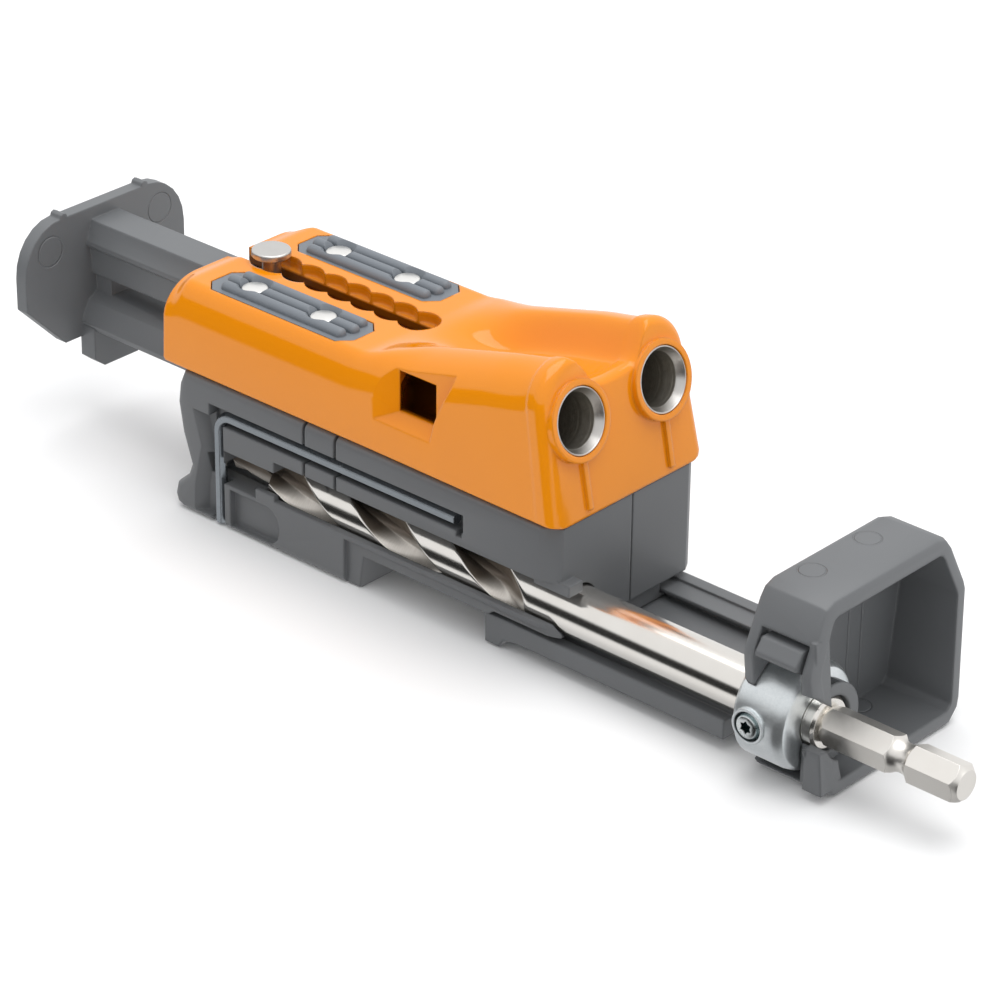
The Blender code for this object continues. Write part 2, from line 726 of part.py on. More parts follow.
def jig_body_rings():
    """Sections from the rear to the sloped, rounded front."""
    shares = (0, 0.014, 0.028, 0.042, 0.25, 0.42, 0.49, 0.53, 0.58, 0.64, 0.72, 0.80, 0.88)
    stations = [(share * JIG_LENGTH, 0.0) for share in shares]
    for i in range(ARC_STEPS):
        angle = math.pi / 2 * i / (ARC_STEPS - 1)
        x = JIG_LENGTH - JIG_NOSE_RADIUS * (1 - math.sin(angle))
        stations.append((x, 1 - math.cos(angle)))
    rings = []
    for x, inset in stations:
        lean = smooth_step((x - JIG_RISE_START) / (JIG_LENGTH - JIG_RISE_START))
        rings.append([(x - FACE_SLOPE_SHARE * z * lean, y, z)
                      for y, z in jig_section(x, inset)])
    return rings


def bar_outline(gap):
    """The stop bar's section grown by a gap."""
    return mirrored((
        (BAR_BOTTOM_HALF + gap, BAR_BOTTOM),
        (BAR_WAIST_HALF + gap, BAR_WAIST_HEIGHT - gap),
        (BAR_RIB_HALF + gap, BAR_RIB_BOTTOM - gap),
        (BAR_RIB_HALF + gap, BAR_RIB_TOP + gap),
        (BAR_SHOULDER_HALF + gap, BAR_SHOULDER_HEIGHT + gap),
        (BAR_TOP_HALF + gap, BAR_TOP + gap),
    ))


def channel_outline():
    """The casting's channel for the bar, open underneath."""
    outline = bar_outline(RUNNING_GAP)
    outline[0] = (outline[0][0], -OVERRUN)
    outline[-1] = (outline[-1][0], -OVERRUN)
    return outline


def pad_outline(side, gap):
    """A long octagon on one side of the slot."""
    start = PAD_START - gap
    end = PAD_END + gap
    inner = PAD_INNER - gap
    outer = PAD_OUTER + gap
    corner = PAD_CORNER
    points = (
        (start + corner, inner), (end - corner, inner),
        (end, inner + corner), (end, outer - corner),
        (end - corner, outer), (start + corner, outer),
        (start, outer - corner), (start, inner + corner),
    )
    return [(x, side * y) for x, y in points]


def pocket_ring(side, shares, half):
    """One outline of the pocket round a chip window, at a distance from the middle."""
    return [(JIG_LENGTH - back * BUSH_LENGTH, side * half, up * JIG_RIDGE_FRONT)
            for back, up in shares]


def magnet_places(side):
    """The rear and the front magnet of one pad."""
    return ((MAGNET_REAR_X, side * MAGNET_OFFSET), (MAGNET_FRONT_X, side * MAGNET_OFFSET))


def build_jig_body():
    """The painted casting with its slot, recesses, bores and windows."""
    body = loft("jig_body", jig_body_rings())
    for side, word in SIDES:
        face = bush_point(side, 0)
        join(body, rod("ring_" + word, bush_point(side, -RING_DEPTH),
                       bush_point(side, RING_PROUD), RING_RADIUS, SIDES_LARGE))
        lean = FACE_SLOPE_SHARE
        rib = ((JIG_LENGTH - RIB_DEPTH, JIG_BOTTOM_RADIUS),
               (JIG_LENGTH + RIB_PROUD - lean * JIG_BOTTOM_RADIUS, JIG_BOTTOM_RADIUS),
               (JIG_LENGTH + RIB_PROUD - lean * face.z, face.z),
               (JIG_LENGTH - RIB_DEPTH - lean * face.z, face.z))
        join(body, outline_prism("rib_" + word, rib, face.y - RIB_HALF,
                                 face.y + RIB_HALF, 'Y'))
        cut(body, outline_prism("pad_recess_" + word, pad_outline(side, TOUCH_GAP),
                                JIG_TOP - PAD_RECESS, JIG_TOP + OVERRUN, 'Z'))
        for x, y in magnet_places(side):
            cut(body, rod("magnet_seat_" + word, (x, y, MAGNET_BOTTOM - TOUCH_GAP),
                          (x, y, JIG_TOP), MAGNET_RADIUS + TOUCH_GAP, SIDES_SMALL))
        floor = pocket_ring(side, POCKET_FLOOR_SHARES, POCKET_FLOOR_HALF)
        rim = pocket_ring(side, POCKET_RIM_SHARES, POCKET_RIM_HALF)
        cut(body, loft("pocket_" + word, (floor, rim)))
        window_end = JIG_LENGTH - WINDOW_FROM_FRONT
        cut(body, side_box("window_" + word, side, window_end - WINDOW_LENGTH, window_end,
                           WINDOW_INNER_HALF, POCKET_FLOOR_HALF + TOUCH_GAP,
                           WINDOW_LOW, WINDOW_HIGH))
        cut(body, rod("bush_seat_" + word, bush_point(side, -BUSH_LENGTH - TOUCH_GAP),
                      bush_point(side, OVERRUN), BUSH_RADIUS + TOUCH_GAP, SIDES_LARGE))
        cut(body, rod("drill_way_" + word, bush_point(side, -JIG_LENGTH),
                      bush_point(side, 0), DRILL_RADIUS + BORE_GAP, SIDES_SMALL))
    cut(body, outline_prism("bar_channel", channel_outline(), -OVERRUN,
                            BAR_END + STOP_TRAVEL + 2 * RUNNING_GAP, 'X'))
    centres = [PIN_X]
    centres += [SCALLOP_FIRST_X + i * SCALLOP_PITCH for i in range(SCALLOP_COUNT)]
    for i, x in enumerate(centres):
        cut(body, rod("scallop_%d" % i, (x, 0, SCALLOP_FLOOR),
                      (x, 0, JIG_TOP + OVERRUN), SCALLOP_RADIUS, SIDES_SMALL))
    slot_end = centres[-1]
    cut(body, box("pin_slot", (-OVERRUN, -SLOT_HALF, BAR_TOP),
                  (slot_end, SLOT_HALF, JIG_TOP + OVERRUN)))
    cut(body, rod("pin_slot_end", (slot_end, 0, BAR_TOP),
                  (slot_end, 0, JIG_TOP + OVERRUN), SLOT_HALF, SIDES_SMALL))
    cut(body, box("lug_pocket", (LUG_START - TOUCH_GAP, -LUG_HALF - TOUCH_GAP, -OVERRUN),
                  (LUG_END + TOUCH_GAP, LUG_HALF + TOUCH_GAP, LUG_HEIGHT + TOUCH_GAP)))
    return as_part(body, PAINT)


def side_box(name, side, start, end, inner, outer, low, high):
    """A box on one side, between two distances from the middle plane."""
    ends = sorted((side * inner, side * outer))
    return box(name, (start, ends[0], low), (end, ends[1], high))


def build_bush(side, word):
    """A hardened guide bush with a countersunk mouth."""
    bore = DRILL_RADIUS + BORE_GAP
    profile = (
        (BUSH_RADIUS, BUSH_PROUD),
        (BUSH_RADIUS, -BUSH_LENGTH),
        (bore, -BUSH_LENGTH),
        (bore, BUSH_PROUD - BUSH_CHAMFER_DEPTH),
        (BUSH_CHAMFER_RADIUS, BUSH_PROUD),
    )
    lean = math.pi / 2 - BARREL_ANGLE
    return as_part(turned("drill_bush_" + word, profile, bush_point(side, 0), lean), STEEL)


def build_pad(side, word):
    """A rubber pad with three half-round ribs, open round its magnets."""
    top = JIG_TOP - PAD_TOP_DROP
    pad = outline_prism("grip_pad_" + word, pad_outline(side, 0),
                        JIG_TOP - PAD_RECESS + TOUCH_GAP, top, 'Z')
    middle = side * (PAD_INNER + PAD_OUTER) / 2
    for i in range(-1, 2):
        y = middle + i * PAD_RIB_SPACING
        join(pad, rod_x("pad_rib_%s_%d" % (word, i + 1), PAD_START + PAD_RIB_END,
                        PAD_END - PAD_RIB_END, y, top + PAD_RIB_RISE, PAD_RIB_RADIUS,
                        RIB_SIDES))
    for x, y in magnet_places(side):
        cut(pad, rod("rib_gap_" + word, (x, y, top), (x, y, top + OVERRUN),
                     MAGNET_RADIUS + TOUCH_GAP + MAGNET_RIB_GAP, SIDES_SMALL))
        cut(pad, rod("magnet_hole_" + word, (x, y, 0), (x, y, top + OVERRUN),
                     MAGNET_RADIUS + TOUCH_GAP, SIDES_SMALL))
    return as_part(pad, RUBBER)


def build_magnet(side, word, place, x, y):
    """A plated disc magnet."""
    return as_part(rod("magnet_%s_%s" % (word, place), (x, y, MAGNET_BOTTOM),
                       (x, y, MAGNET_TOP), MAGNET_RADIUS, SIDES_SMALL), NICKEL)


def plate_outline():
    """The stop plate: flat top between two nubs, round shoulders, cut corners."""
    half = []
    for i in range(PLATE_NUB_STEPS):
        angle = math.pi * (1 - i / PLATE_NUB_STEPS)
        half.append((PLATE_NUB_CENTRE + PLATE_NUB_RADIUS * math.cos(angle),
                     PLATE_TOP + PLATE_NUB_RADIUS * math.sin(angle)))
    start = PLATE_NUB_CENTRE + PLATE_NUB_RADIUS
    for i in range(PLATE_ARC_STEPS + 1):
        angle = math.pi / 2 * (1 - i / PLATE_ARC_STEPS)
        half.append((start + (PLATE_HALF - start) * math.cos(angle),
                     PLATE_ARC_END + (PLATE_TOP - PLATE_ARC_END) * math.sin(angle)))
    half += [(PLATE_HALF, PLATE_CHAMFER_TOP), (PLATE_BOTTOM_HALF, PLATE_BOTTOM)]
    return mirrored(half)


def runner_outline():
    """The runner's arched section."""
    return mirrored((
        (RUNNER_BOTTOM_HALF, RUNNER_BOTTOM), (RUNNER_HALF, RUNNER_LEDGE),
        (RUNNER_SIDE_HALF, RUNNER_SIDE), (RUNNER_ARCH_HALF, RUNNER_ARCH),
        (RUNNER_TOP_HALF, RUNNER_TOP),
    ))


def foot_outline():
    """The foot under the runner's left end, seen along the runner."""
    return mirrored((
        (FOOT_BOTTOM_HALF, FOOT_BOTTOM), (FOOT_HALF, FOOT_KNEE),
        (FOOT_HALF, RUNNER_LEDGE - OVERLAP),
    ))


def build_stop_slide():
    """Bar, end plate and runner as one moulding, bored for the lock pin."""
    slide = outline_prism("stop_slide", bar_outline(0), BAR_START - OVERLAP, BAR_END, 'X')
    join(slide, outline_prism("stop_plate", plate_outline(), BAR_START - PLATE_THICKNESS,
                              BAR_START, 'X'))
    join(slide, outline_prism("stop_runner", runner_outline(), BAR_START - OVERLAP,
                              BAR_END, 'X'))
    join(slide, outline_prism("stop_foot", foot_outline(), BAR_START - OVERLAP,
                              BAR_START + FOOT_THICKNESS, 'X'))
    join(slide, box("stop_web", (BAR_START - OVERLAP, -WEB_HALF, RUNNER_TOP - OVERLAP),
                    (BAR_START + WEB_LENGTH, WEB_HALF, BAR_BOTTOM + OVERLAP)))
    cut(slide, rod("pin_hole", (PIN_X, 0, BAR_BOTTOM), (PIN_X, 0, BAR_TOP + OVERRUN),
                   PIN_RADIUS + RUNNING_GAP, SIDES_SMALL))
    cut(slide, rod("spring_pocket", (PIN_X, 0, RUNNER_TOP + OVERLAP),
                   (PIN_X, 0, SPRING_POCKET_TOP), SPRING_POCKET_RADIUS, SIDES_SMALL))
    return as_part(slide, PLASTIC)


def build_lock_pin():
    """A turned pin with a flat head and a groove for its clip."""
    clip_top = CLIP_BOTTOM + CLIP_THICKNESS
    profile = (
        (0, PIN_HEAD_TOP),
        (PIN_HEAD_RADIUS - PIN_HEAD_EDGE, PIN_HEAD_TOP),
        (PIN_HEAD_RADIUS, PIN_HEAD_TOP - PIN_HEAD_EDGE),
        (PIN_HEAD_RADIUS, PIN_HEAD_RIM),
        (PIN_RADIUS, PIN_HEAD_UNDER),
        (PIN_RADIUS, clip_top + TOUCH_GAP),
        (PIN_GROOVE_RADIUS, clip_top + TOUCH_GAP),
        (PIN_GROOVE_RADIUS, CLIP_BOTTOM - TOUCH_GAP),
        (PIN_RADIUS, CLIP_BOTTOM - TOUCH_GAP),
        (PIN_RADIUS, PIN_BOTTOM),
        (0, PIN_BOTTOM),
    )
    return as_part(turned("lock_pin", profile, (PIN_X, 0, 0)), STEEL)


def build_lock_clip():
    """The retaining ring in the pin's groove."""
    inner = PIN_GROOVE_RADIUS + TOUCH_GAP
    top = CLIP_BOTTOM + CLIP_THICKNESS
    profile = ((CLIP_RADIUS, top), (CLIP_RADIUS, CLIP_BOTTOM), (inner, CLIP_BOTTOM), (inner, top))
    return as_part(turned("lock_clip", profile, (PIN_X, 0, 0)), DARK_STEEL)


def spring_points():
    """The centre line of the coil, from the clip up to the shelf in the bar."""
    low = CLIP_BOTTOM + CLIP_THICKNESS + TOUCH_GAP + SPRING_WIRE
    high = SPRING_POCKET_TOP - TOUCH_GAP - SPRING_WIRE
    count = SPRING_TURNS * SPRING_POINTS_PER_TURN
    points = []
    for i in range(count + 1):
        angle = 2 * math.pi * i / SPRING_POINTS_PER_TURN
        points.append((SPRING_RADIUS * math.cos(angle), SPRING_RADIUS * math.sin(angle),
                       mix(low, high, i / count)))
    return points


def build_lock_spring():
    """The coil that pulls the pin down, one unbroken wire."""
    points = spring_points()
    rise = points[SPRING_POINTS_PER_TURN][2] - points[0][2]
    print("lock_spring gap to itself, mm:", round((rise - 2 * SPRING_WIRE) / MILLIMETRE, 3))
    curve = bpy.data.curves.new("lock_spring", 'CURVE')
    curve.dimensions = '3D'
    curve.bevel_depth = SPRING_WIRE
    curve.bevel_resolution = 1
    curve.use_fill_caps = True
    spline = curve.splines.new('POLY')
    spline.points.add(len(points) - 1)
    for target, point in zip(spline.points, points):
        target.co = (*point, 1)
    spring = add_object("lock_spring", curve, (PIN_X, 0, 0))
    curve.materials.append(DARK_STEEL)
    return spring


def holder_outline():
    """The holder seen from the side, from the rear end round to the front."""
    rear = [(share * HOLDER_REAR_DEPTH, mix(HOLDER_TOP, HOLDER_BOTTOM, down))
            for share, down in HOLDER_REAR_SHARES]
    return tuple(rear) + (
        (HOLDER_FOOT_END, HOLDER_BOTTOM), (HOLDER_FOOT_RISE_END, HOLDER_WALL_BOTTOM),
        (HOLDER_BLOCK_START, HOLDER_WALL_BOTTOM),
        (HOLDER_BLOCK_START + HOLDER_EDGE, HOLDER_BLOCK_BOTTOM),
        (HOLDER_FRONT, HOLDER_BLOCK_BOTTOM), (HOLDER_FRONT, HOLDER_TOP),
    )


def keel_outline():
    """The keel under the holder with the tongues that the trough runs on."""
    return mirrored((
        (KEEL_TONGUE_HALF, KEEL_BOTTOM), (KEEL_TONGUE_HALF, KEEL_TONGUE_TOP),
        (KEEL_HALF, KEEL_TONGUE_TOP), (KEEL_HALF, HOLDER_BLOCK_BOTTOM + OVERLAP),
    ))


def holder_half(name, low, high):
    """One half of the holder with what both halves share."""
    half = rounded_block(name, holder_outline(), HOLDER_HALF, HOLDER_EDGE)
    join(half, outline_prism(name + "_keel", keel_outline(), KEEL_START, KEEL_END, 'X'))
    join(half, box(name + "_lug", (LUG_START, -LUG_HALF, HOLDER_TOP - OVERLAP),
                   (LUG_END, LUG_HALF, LUG_HEIGHT)))
    cut(half, box(name + "_channel", (-OVERRUN, -CHANNEL_HALF, CHANNEL_BOTTOM),
                  (BAR_END + STOP_TRAVEL + 2 * RUNNING_GAP, CHANNEL_HALF, OVERRUN)))
    for start, end in zip(CAVITY_START_SHARES, CAVITY_END_SHARES):
        cut(half, box(name + "_cavity", (start * HOLDER_FRONT, low, CAVITY_BOTTOM),
                      (end * HOLDER_FRONT, high, CAVITY_TOP)))
    for x in (SCREW_REAR_X, SCREW_FRONT_X):
        cut(half, rod(name + "_screw_way", (x, SCREW_TIP - TOUCH_GAP, SCREW_Z),
                      (x, HOLDER_HALF + OVERRUN, SCREW_Z), SCREW_RADIUS + TOUCH_GAP, SIDES_SMALL))
    return half


def recess_outline():
    """The recess beside the key, its two right-hand corners rounded."""
    low = HOLDER_BOTTOM + SIDE_RECESS_RISE
    high = low + SIDE_RECESS_HEIGHT
    end = SIDE_RECESS_START + SIDE_RECESS_LENGTH
    outline = [(SIDE_RECESS_START, high), (SIDE_RECESS_START, low)]
    for z, turn in ((low + SIDE_RECESS_RADIUS, -1), (high - SIDE_RECESS_RADIUS, 0)):
        for i in range(CORNER_STEPS + 1):
            angle = math.pi / 2 * (turn + i / CORNER_STEPS)
            outline.append((end - SIDE_RECESS_RADIUS * (1 - math.cos(angle)),
                            z + SIDE_RECESS_RADIUS * math.sin(angle)))
    return outline


def valley_ring(half, lean):
    """One outline of the sloped valley left of the key."""
    edge = [(share * KEY_SHORT_X + lean, down * HOLDER_BOTTOM)
            for share, down in VALLEY_EDGE_SHARES]
    right = KEY_SHORT_X - KEY_SLOT_HALF + TOUCH_GAP
    points = edge + [(right, edge[-1][1]), (right, edge[0][1])]
    return [(x, -half, z) for x, z in points]


def far_corner_line():
    """Points outside the rounded far corner at the holder's front."""
    step = math.pi / 2 / CORNER_STEPS
    reach = HOLDER_CORNER_RADIUS / math.cos(step / 2)
    line = []
    for i in range(CORNER_STEPS):
        angle = math.pi / 2 - (i + 1 / 2) * step
        line.append((HOLDER_FRONT - HOLDER_CORNER_RADIUS + reach * math.cos(angle),
                     HOLDER_HALF - HOLDER_CORNER_RADIUS + reach * math.sin(angle)))
    return line


def build_holder_near():
    """The drill side: cradle, key slot, recess, snap tab and slit band."""
    half = holder_half("bit_holder_near", -CAVITY_NEAR_HALF, HOLDER_SPLIT)
    outer = -HOLDER_HALF - OVERRUN
    chamfer = ((HOLDER_FRONT - HOLDER_CHAMFER_RUN, -HOLDER_HALF),
               (HOLDER_FRONT, -HOLDER_HALF + HOLDER_CHAMFER_DEPTH))
    cut(half, corner_cutter("near_corner", chamfer, HOLDER_BOTTOM, LUG_HEIGHT))
    cut(half, box("side_step", (SIDE_STEP_START, outer, HOLDER_BOTTOM - OVERRUN),
                  (HOLDER_FRONT + OVERRUN, -HOLDER_HALF + SIDE_STEP_DEPTH,
                   HOLDER_BOTTOM + SIDE_STEP_RISE)))
    cut(half, loft("key_valley", (valley_ring(VALLEY_FLOOR_HALF, VALLEY_LEAN),
                                  valley_ring(VALLEY_RIM_HALF, -VALLEY_LEAN))))
    radius = DRILL_RADIUS + CRADLE_GAP
    cut(half, rod_x("cradle", CRADLE_WIDE_START, HOLDER_FRONT + OVERRUN, DRILL_Y, DRILL_Z,
                    radius, SIDES_LARGE))
    cut(half, rod_x("pilot_way", CRADLE_START, CRADLE_WIDE_START + OVERLAP, DRILL_Y, DRILL_Z,
                    PILOT_RADIUS + CRADLE_GAP + TOUCH_GAP, SIDES_SMALL))
    cut(half, box("pilot_mouth", (CRADLE_MOUTH_START, outer, CRADLE_LIP),
                  (CRADLE_RAISE_START + OVERLAP, DRILL_Y, CRADLE_MOUTH_HIGH)))
    cut(half, box("cradle_mouth", (CRADLE_RAISE_START, outer, CRADLE_MOUTH_LOW),
                  (HOLDER_FRONT + OVERRUN, DRILL_Y, CRADLE_MOUTH_HIGH + TOUCH_GAP)))
    cut(half, box("cradle_raise", (CRADLE_RAISE_START, outer, DRILL_Z),
                  (HOLDER_FRONT + OVERRUN, -CRADLE_RAISE_FLOOR, CRADLE_RAISE_TOP)))
    for x in BAND_SLIT_PLACES:
        cut(half, box("band_slit", (x - BAND_SLIT_HALF, outer, CRADLE_RAISE_TOP - TOUCH_GAP),
                      (x + BAND_SLIT_HALF, -BAND_SLIT_FLOOR, OVERRUN)))
    cut(half, box("key_notch", (KEY_SLOT_END - KEY_NOTCH_LENGTH, outer,
                                KEY_LONG_Z - KEY_NOTCH_DROP),
                  (KEY_SLOT_END - TOUCH_GAP, -KEY_SLOT_FLOOR - TOUCH_GAP, KEY_LONG_Z)))
    cut(half, box("key_slot_long", (KEY_SHORT_X - KEY_SLOT_HALF, outer, KEY_LONG_Z - KEY_SLOT_HALF),
                  (KEY_SLOT_END, -KEY_SLOT_FLOOR, KEY_LONG_Z + KEY_SLOT_HALF)))
    cut(half, box("key_slot_short", (KEY_SHORT_X - KEY_SLOT_HALF, outer, HOLDER_BOTTOM - OVERRUN),
                  (KEY_SHORT_X + KEY_SLOT_HALF, -KEY_SLOT_FLOOR, KEY_LONG_Z)))
    cut(half, outline_prism("side_recess", recess_outline(), outer,
                            -SIDE_RECESS_FLOOR, 'Y'))
    join(half, box("snap_tab", (SNAP_TAB_START, -SNAP_TAB_OUTER, SNAP_TAB_LOW),
                   (SNAP_TAB_END, -SNAP_TAB_INNER, SNAP_TAB_HIGH + OVERLAP)))
    cut(half, box("near_split", (-OVERRUN, HOLDER_SPLIT - TOUCH_GAP / 2, HOLDER_BOTTOM - OVERRUN),
                  (HOLDER_FRONT + OVERRUN, HOLDER_HALF + OVERRUN, LUG_HEIGHT + OVERRUN)))
    return as_part(half, PLASTIC)


def build_holder_far():
    """The plain half, counterbored for its two screws."""
    half = holder_half("bit_holder_far", HOLDER_SPLIT - OVERRUN, CAVITY_FAR_HALF)
    cut(half, corner_cutter("far_corner", far_corner_line(), HOLDER_BOTTOM, LUG_HEIGHT))
    for x in (SCREW_REAR_X, SCREW_FRONT_X):
        cut(half, rod("screw_seat", (x, screw_seat() - TOUCH_GAP, SCREW_Z),
                      (x, HOLDER_HALF + OVERRUN, SCREW_Z),
                      SCREW_HEAD_RADIUS + TOUCH_GAP, SIDES_SMALL))
    cut(half, box("far_split", (-OVERRUN, -HOLDER_HALF - OVERRUN, HOLDER_BOTTOM - OVERRUN),
                  (HOLDER_FRONT + OVERRUN, HOLDER_SPLIT + TOUCH_GAP / 2, LUG_HEIGHT + OVERRUN)))
    return as_part(half, PLASTIC)


def screw_seat():
    """Where the underside of a screw head lies."""
    return HOLDER_HALF - SCREW_HEAD_SINK - SCREW_HEAD_HEIGHT


def build_screw(word, x):
    """A pan-head screw with a hex socket, driven in from the far side."""
    seat = screw_seat()
    outer = seat + SCREW_HEAD_HEIGHT
    screw = rod("holder_screw_" + word, (x, seat, SCREW_Z), (x, outer, SCREW_Z),
                SCREW_HEAD_RADIUS, SIDES_SMALL)
    join(screw, rod("screw_shank_" + word, (x, SCREW_TIP, SCREW_Z),
                    (x, seat + SCREW_HEAD_HEIGHT / 2, SCREW_Z), SCREW_RADIUS, SIDES_SMALL))
    cut(screw, rod("screw_socket_" + word, (x, outer - SCREW_SOCKET_DEPTH, SCREW_Z),
                   (x, outer + OVERRUN, SCREW_Z), SCREW_SOCKET_RADIUS, HEX_SIDES))
    return as_part(screw, DARK_STEEL)


def flute_ring(distance, radius, core_share):
    """A twist drill's section: two round lands and two flutes, turned along X."""
    turn = FLUTE_PHASE + math.pi * min(distance, FLUTE_END) / FLUTE_HALF_LEAD
    ring = []
    for i in range(FLUTE_POINTS):
        angle = 2 * math.pi * i / FLUTE_POINTS
        hollow = smooth_step((math.cos(2 * angle) - FLUTE_EDGE_LOW) / FLUTE_EDGE_RUN)
        reach = radius * mix(1.0, core_share, hollow)
        ring.append((distance, reach * math.cos(angle + turn), reach * math.sin(angle + turn)))
    return ring


def fluted_rings():
    """Sections from the tip over the pilot, the step and the flutes' run-out."""
    rings = [flute_ring(0, PILOT_RADIUS * TIP_SHARE, 1.0),
             flute_ring(PILOT_TIP, PILOT_RADIUS, FLUTE_CORE_SHARE)]
    for i in range(1, PILOT_STATIONS + 1):
        distance = mix(PILOT_TIP, PILOT_END, i / PILOT_STATIONS)
        rings.append(flute_ring(distance, PILOT_RADIUS, FLUTE_CORE_SHARE))
    for i in range(FLUTE_STATIONS + 1):
        distance = mix(STEP_END, FLUTE_END, i / FLUTE_STATIONS)
        run_out = smooth_step((distance - FLUTE_END + FLUTE_RUN_OUT) / FLUTE_RUN_OUT)
        rings.append(flute_ring(distance, DRILL_RADIUS, mix(FLUTE_CORE_SHARE, 1.0, run_out)))
    rings.append(flute_ring(SHANK_END, DRILL_RADIUS, 1.0))
    return rings


def build_drill():
    """Step drill with a plain shank, a flange and a grooved hex."""
    drill = loft("drill_bit", fluted_rings(), (DRILL_TIP_X, DRILL_Y, DRILL_Z))
    corner = HEX_FLAT / math.sqrt(3)
    flange = drill_rod("flange", SHANK_END - OVERLAP, FLANGE_END, FLANGE_RADIUS, SIDES_SMALL)
    join(drill, flange)
    join(drill, drill_rod("hex_first", FLANGE_END - OVERLAP, HEX_FIRST_END, corner, HEX_SIDES))
    join(drill, drill_rod("hex_neck", HEX_FIRST_END - OVERLAP, HEX_SECOND_START + OVERLAP,
                          HEX_GROOVE_RADIUS, SIDES_SMALL))
    join(drill, drill_rod("hex_neck_rear", HEX_FIRST_END - OVERLAP, HEX_GROOVE_START,
                          corner - HEX_CHAMFER / 2, HEX_SIDES, HEX_GROOVE_RADIUS))
    join(drill, drill_rod("hex_neck_front", HEX_GROOVE_END, HEX_SECOND_START + OVERLAP,
                          HEX_GROOVE_RADIUS, HEX_SIDES, corner - HEX_CHAMFER / 2))
    join(drill, drill_rod("hex_second", HEX_SECOND_START, DRILL_LENGTH - HEX_CHAMFER,
                          corner, HEX_SIDES))
    join(drill, drill_rod("hex_end", DRILL_LENGTH - HEX_CHAMFER - WELD_DISTANCE, DRILL_LENGTH,
                          corner, HEX_SIDES, corner - HEX_CHAMFER))
    return as_part(drill, BRIGHT_STEEL)


def drill_rod(name, start, end, radius, sides, end_radius=None):
    """A stretch of the drill, measured from its tip."""
    return rod_x(name, DRILL_TIP_X + start, DRILL_TIP_X + end, DRILL_Y, DRILL_Z,
                 radius, sides, end_radius, HEX_TURN)


def key_path():
    """Centre line of the key in the XZ plane with its direction at each point."""
    path = [((KEY_SHORT_X, KEY_SHORT_END), 0.0)]
    centre = (KEY_SHORT_X + KEY_BEND, KEY_LONG_Z - KEY_BEND)
    for i in range(KEY_BEND_STEPS + 1):
        angle = math.pi / 2 * i / KEY_BEND_STEPS
        path.append(((centre[0] - KEY_BEND * math.cos(angle),
                      centre[1] + KEY_BEND * math.sin(angle)), angle))
    path.append(((KEY_LONG_END, KEY_LONG_Z), math.pi / 2))
    return path


def build_hex_key():
    """A hexagonal wire swept round one bend, flat to the holder's side."""
    corner = KEY_FLAT / math.sqrt(3)
    rings = []
    for (x, z), angle in key_path():
        ring = []
        for i in range(HEX_SIDES):
            around = 2 * math.pi * (i + 1 / 2) / HEX_SIDES
            out = corner * math.sin(around)
            ring.append((x - out * math.cos(angle), KEY_Y + corner * math.cos(around),
                         z + out * math.sin(angle)))
        rings.append(ring)
    return as_part(loft("hex_key", rings), ZINC)


def trough_outline():
    """The gauge slide's section: two rails with a floor and guide grooves."""
    return mirrored((
        (TROUGH_HALF, TROUGH_BOTTOM), (TROUGH_HALF, TROUGH_RIM_TOP),
        (TROUGH_RIM_INNER, TROUGH_RIM_TOP), (TROUGH_RIM_INNER, TROUGH_STEP),
        (TROUGH_INNER, TROUGH_STEP), (TROUGH_INNER, TROUGH_GROOVE_TOP),
        (TROUGH_GROOVE, TROUGH_GROOVE_TOP), (TROUGH_GROOVE, TROUGH_FLOOR),
    ))


def trough_foot_outline():
    """The foot under the slide's left end, seen from the side."""
    return (
        (TROUGH_START, TROUGH_BOTTOM + OVERLAP), (TROUGH_START, TROUGH_FOOT_BOTTOM),
        (TROUGH_FOOT_END, TROUGH_FOOT_BOTTOM),
        (TROUGH_FOOT_END + TROUGH_FOOT_FILLET_STEP,
         TROUGH_BOTTOM - TROUGH_FOOT_FILLET_STEP / 2),
        (TROUGH_FOOT_FILLET_END, TROUGH_BOTTOM), (TROUGH_FOOT_FILLET_END, TROUGH_BOTTOM + OVERLAP),
    )


def housing_outline(inset):
    """The housing's section with rounded shoulders, moved in evenly."""
    half = [(across * HOUSING_WIDE_HALF, mix(HOUSING_BOTTOM, HOUSING_TOP, up))
            for across, up in HOUSING_SHARES]
    return shrunk(mirrored(half), inset)


def housing_front(z):
    """How far forward the housing's leaning front face is at a height."""
    share = (HOUSING_TOP - z) / (HOUSING_TOP - HOUSING_BOTTOM)
    return mix(HOUSING_FRONT_TOP, HOUSING_FRONT_BOTTOM, share)


def housing_rings():
    """Sections of the housing's solid block with both its rims rounded."""
    insets = [HOUSING_EDGE * share for share in (1.0, HOUSING_EDGE_SHARE, 0.0)]
    rings = []
    for inset in insets:
        reach = math.sqrt(HOUSING_EDGE ** 2 - (HOUSING_EDGE - inset) ** 2)
        rings.append([(HOUSING_BACK + HOUSING_EDGE - reach, y, z)
                      for y, z in housing_outline(inset)])
    for inset in reversed(insets):
        reach = math.sqrt(HOUSING_EDGE ** 2 - (HOUSING_EDGE - inset) ** 2)
        rings.append([(housing_front(z) - HOUSING_EDGE + reach, y, z)
                      for y, z in housing_outline(inset)])
    return rings


def mouth_outline():
    """The opening of the yoke to the near side, flared upwards, as (y, z)."""
    outer = -HOUSING_WIDE_HALF - OVERRUN
    low = DRILL_Z - YOKE_MOUTH_LOW
    high = DRILL_Z + YOKE_MOUTH_HIGH
    return ((DRILL_Y, low), (outer, low), (outer, high + YOKE_FLARE + YOKE_FLARE),
            (-YOKE_POST_HALF, high + YOKE_FLARE), (DRILL_Y - YOKE_MOUTH_HIGH / 2, high),
            (DRILL_Y, high))


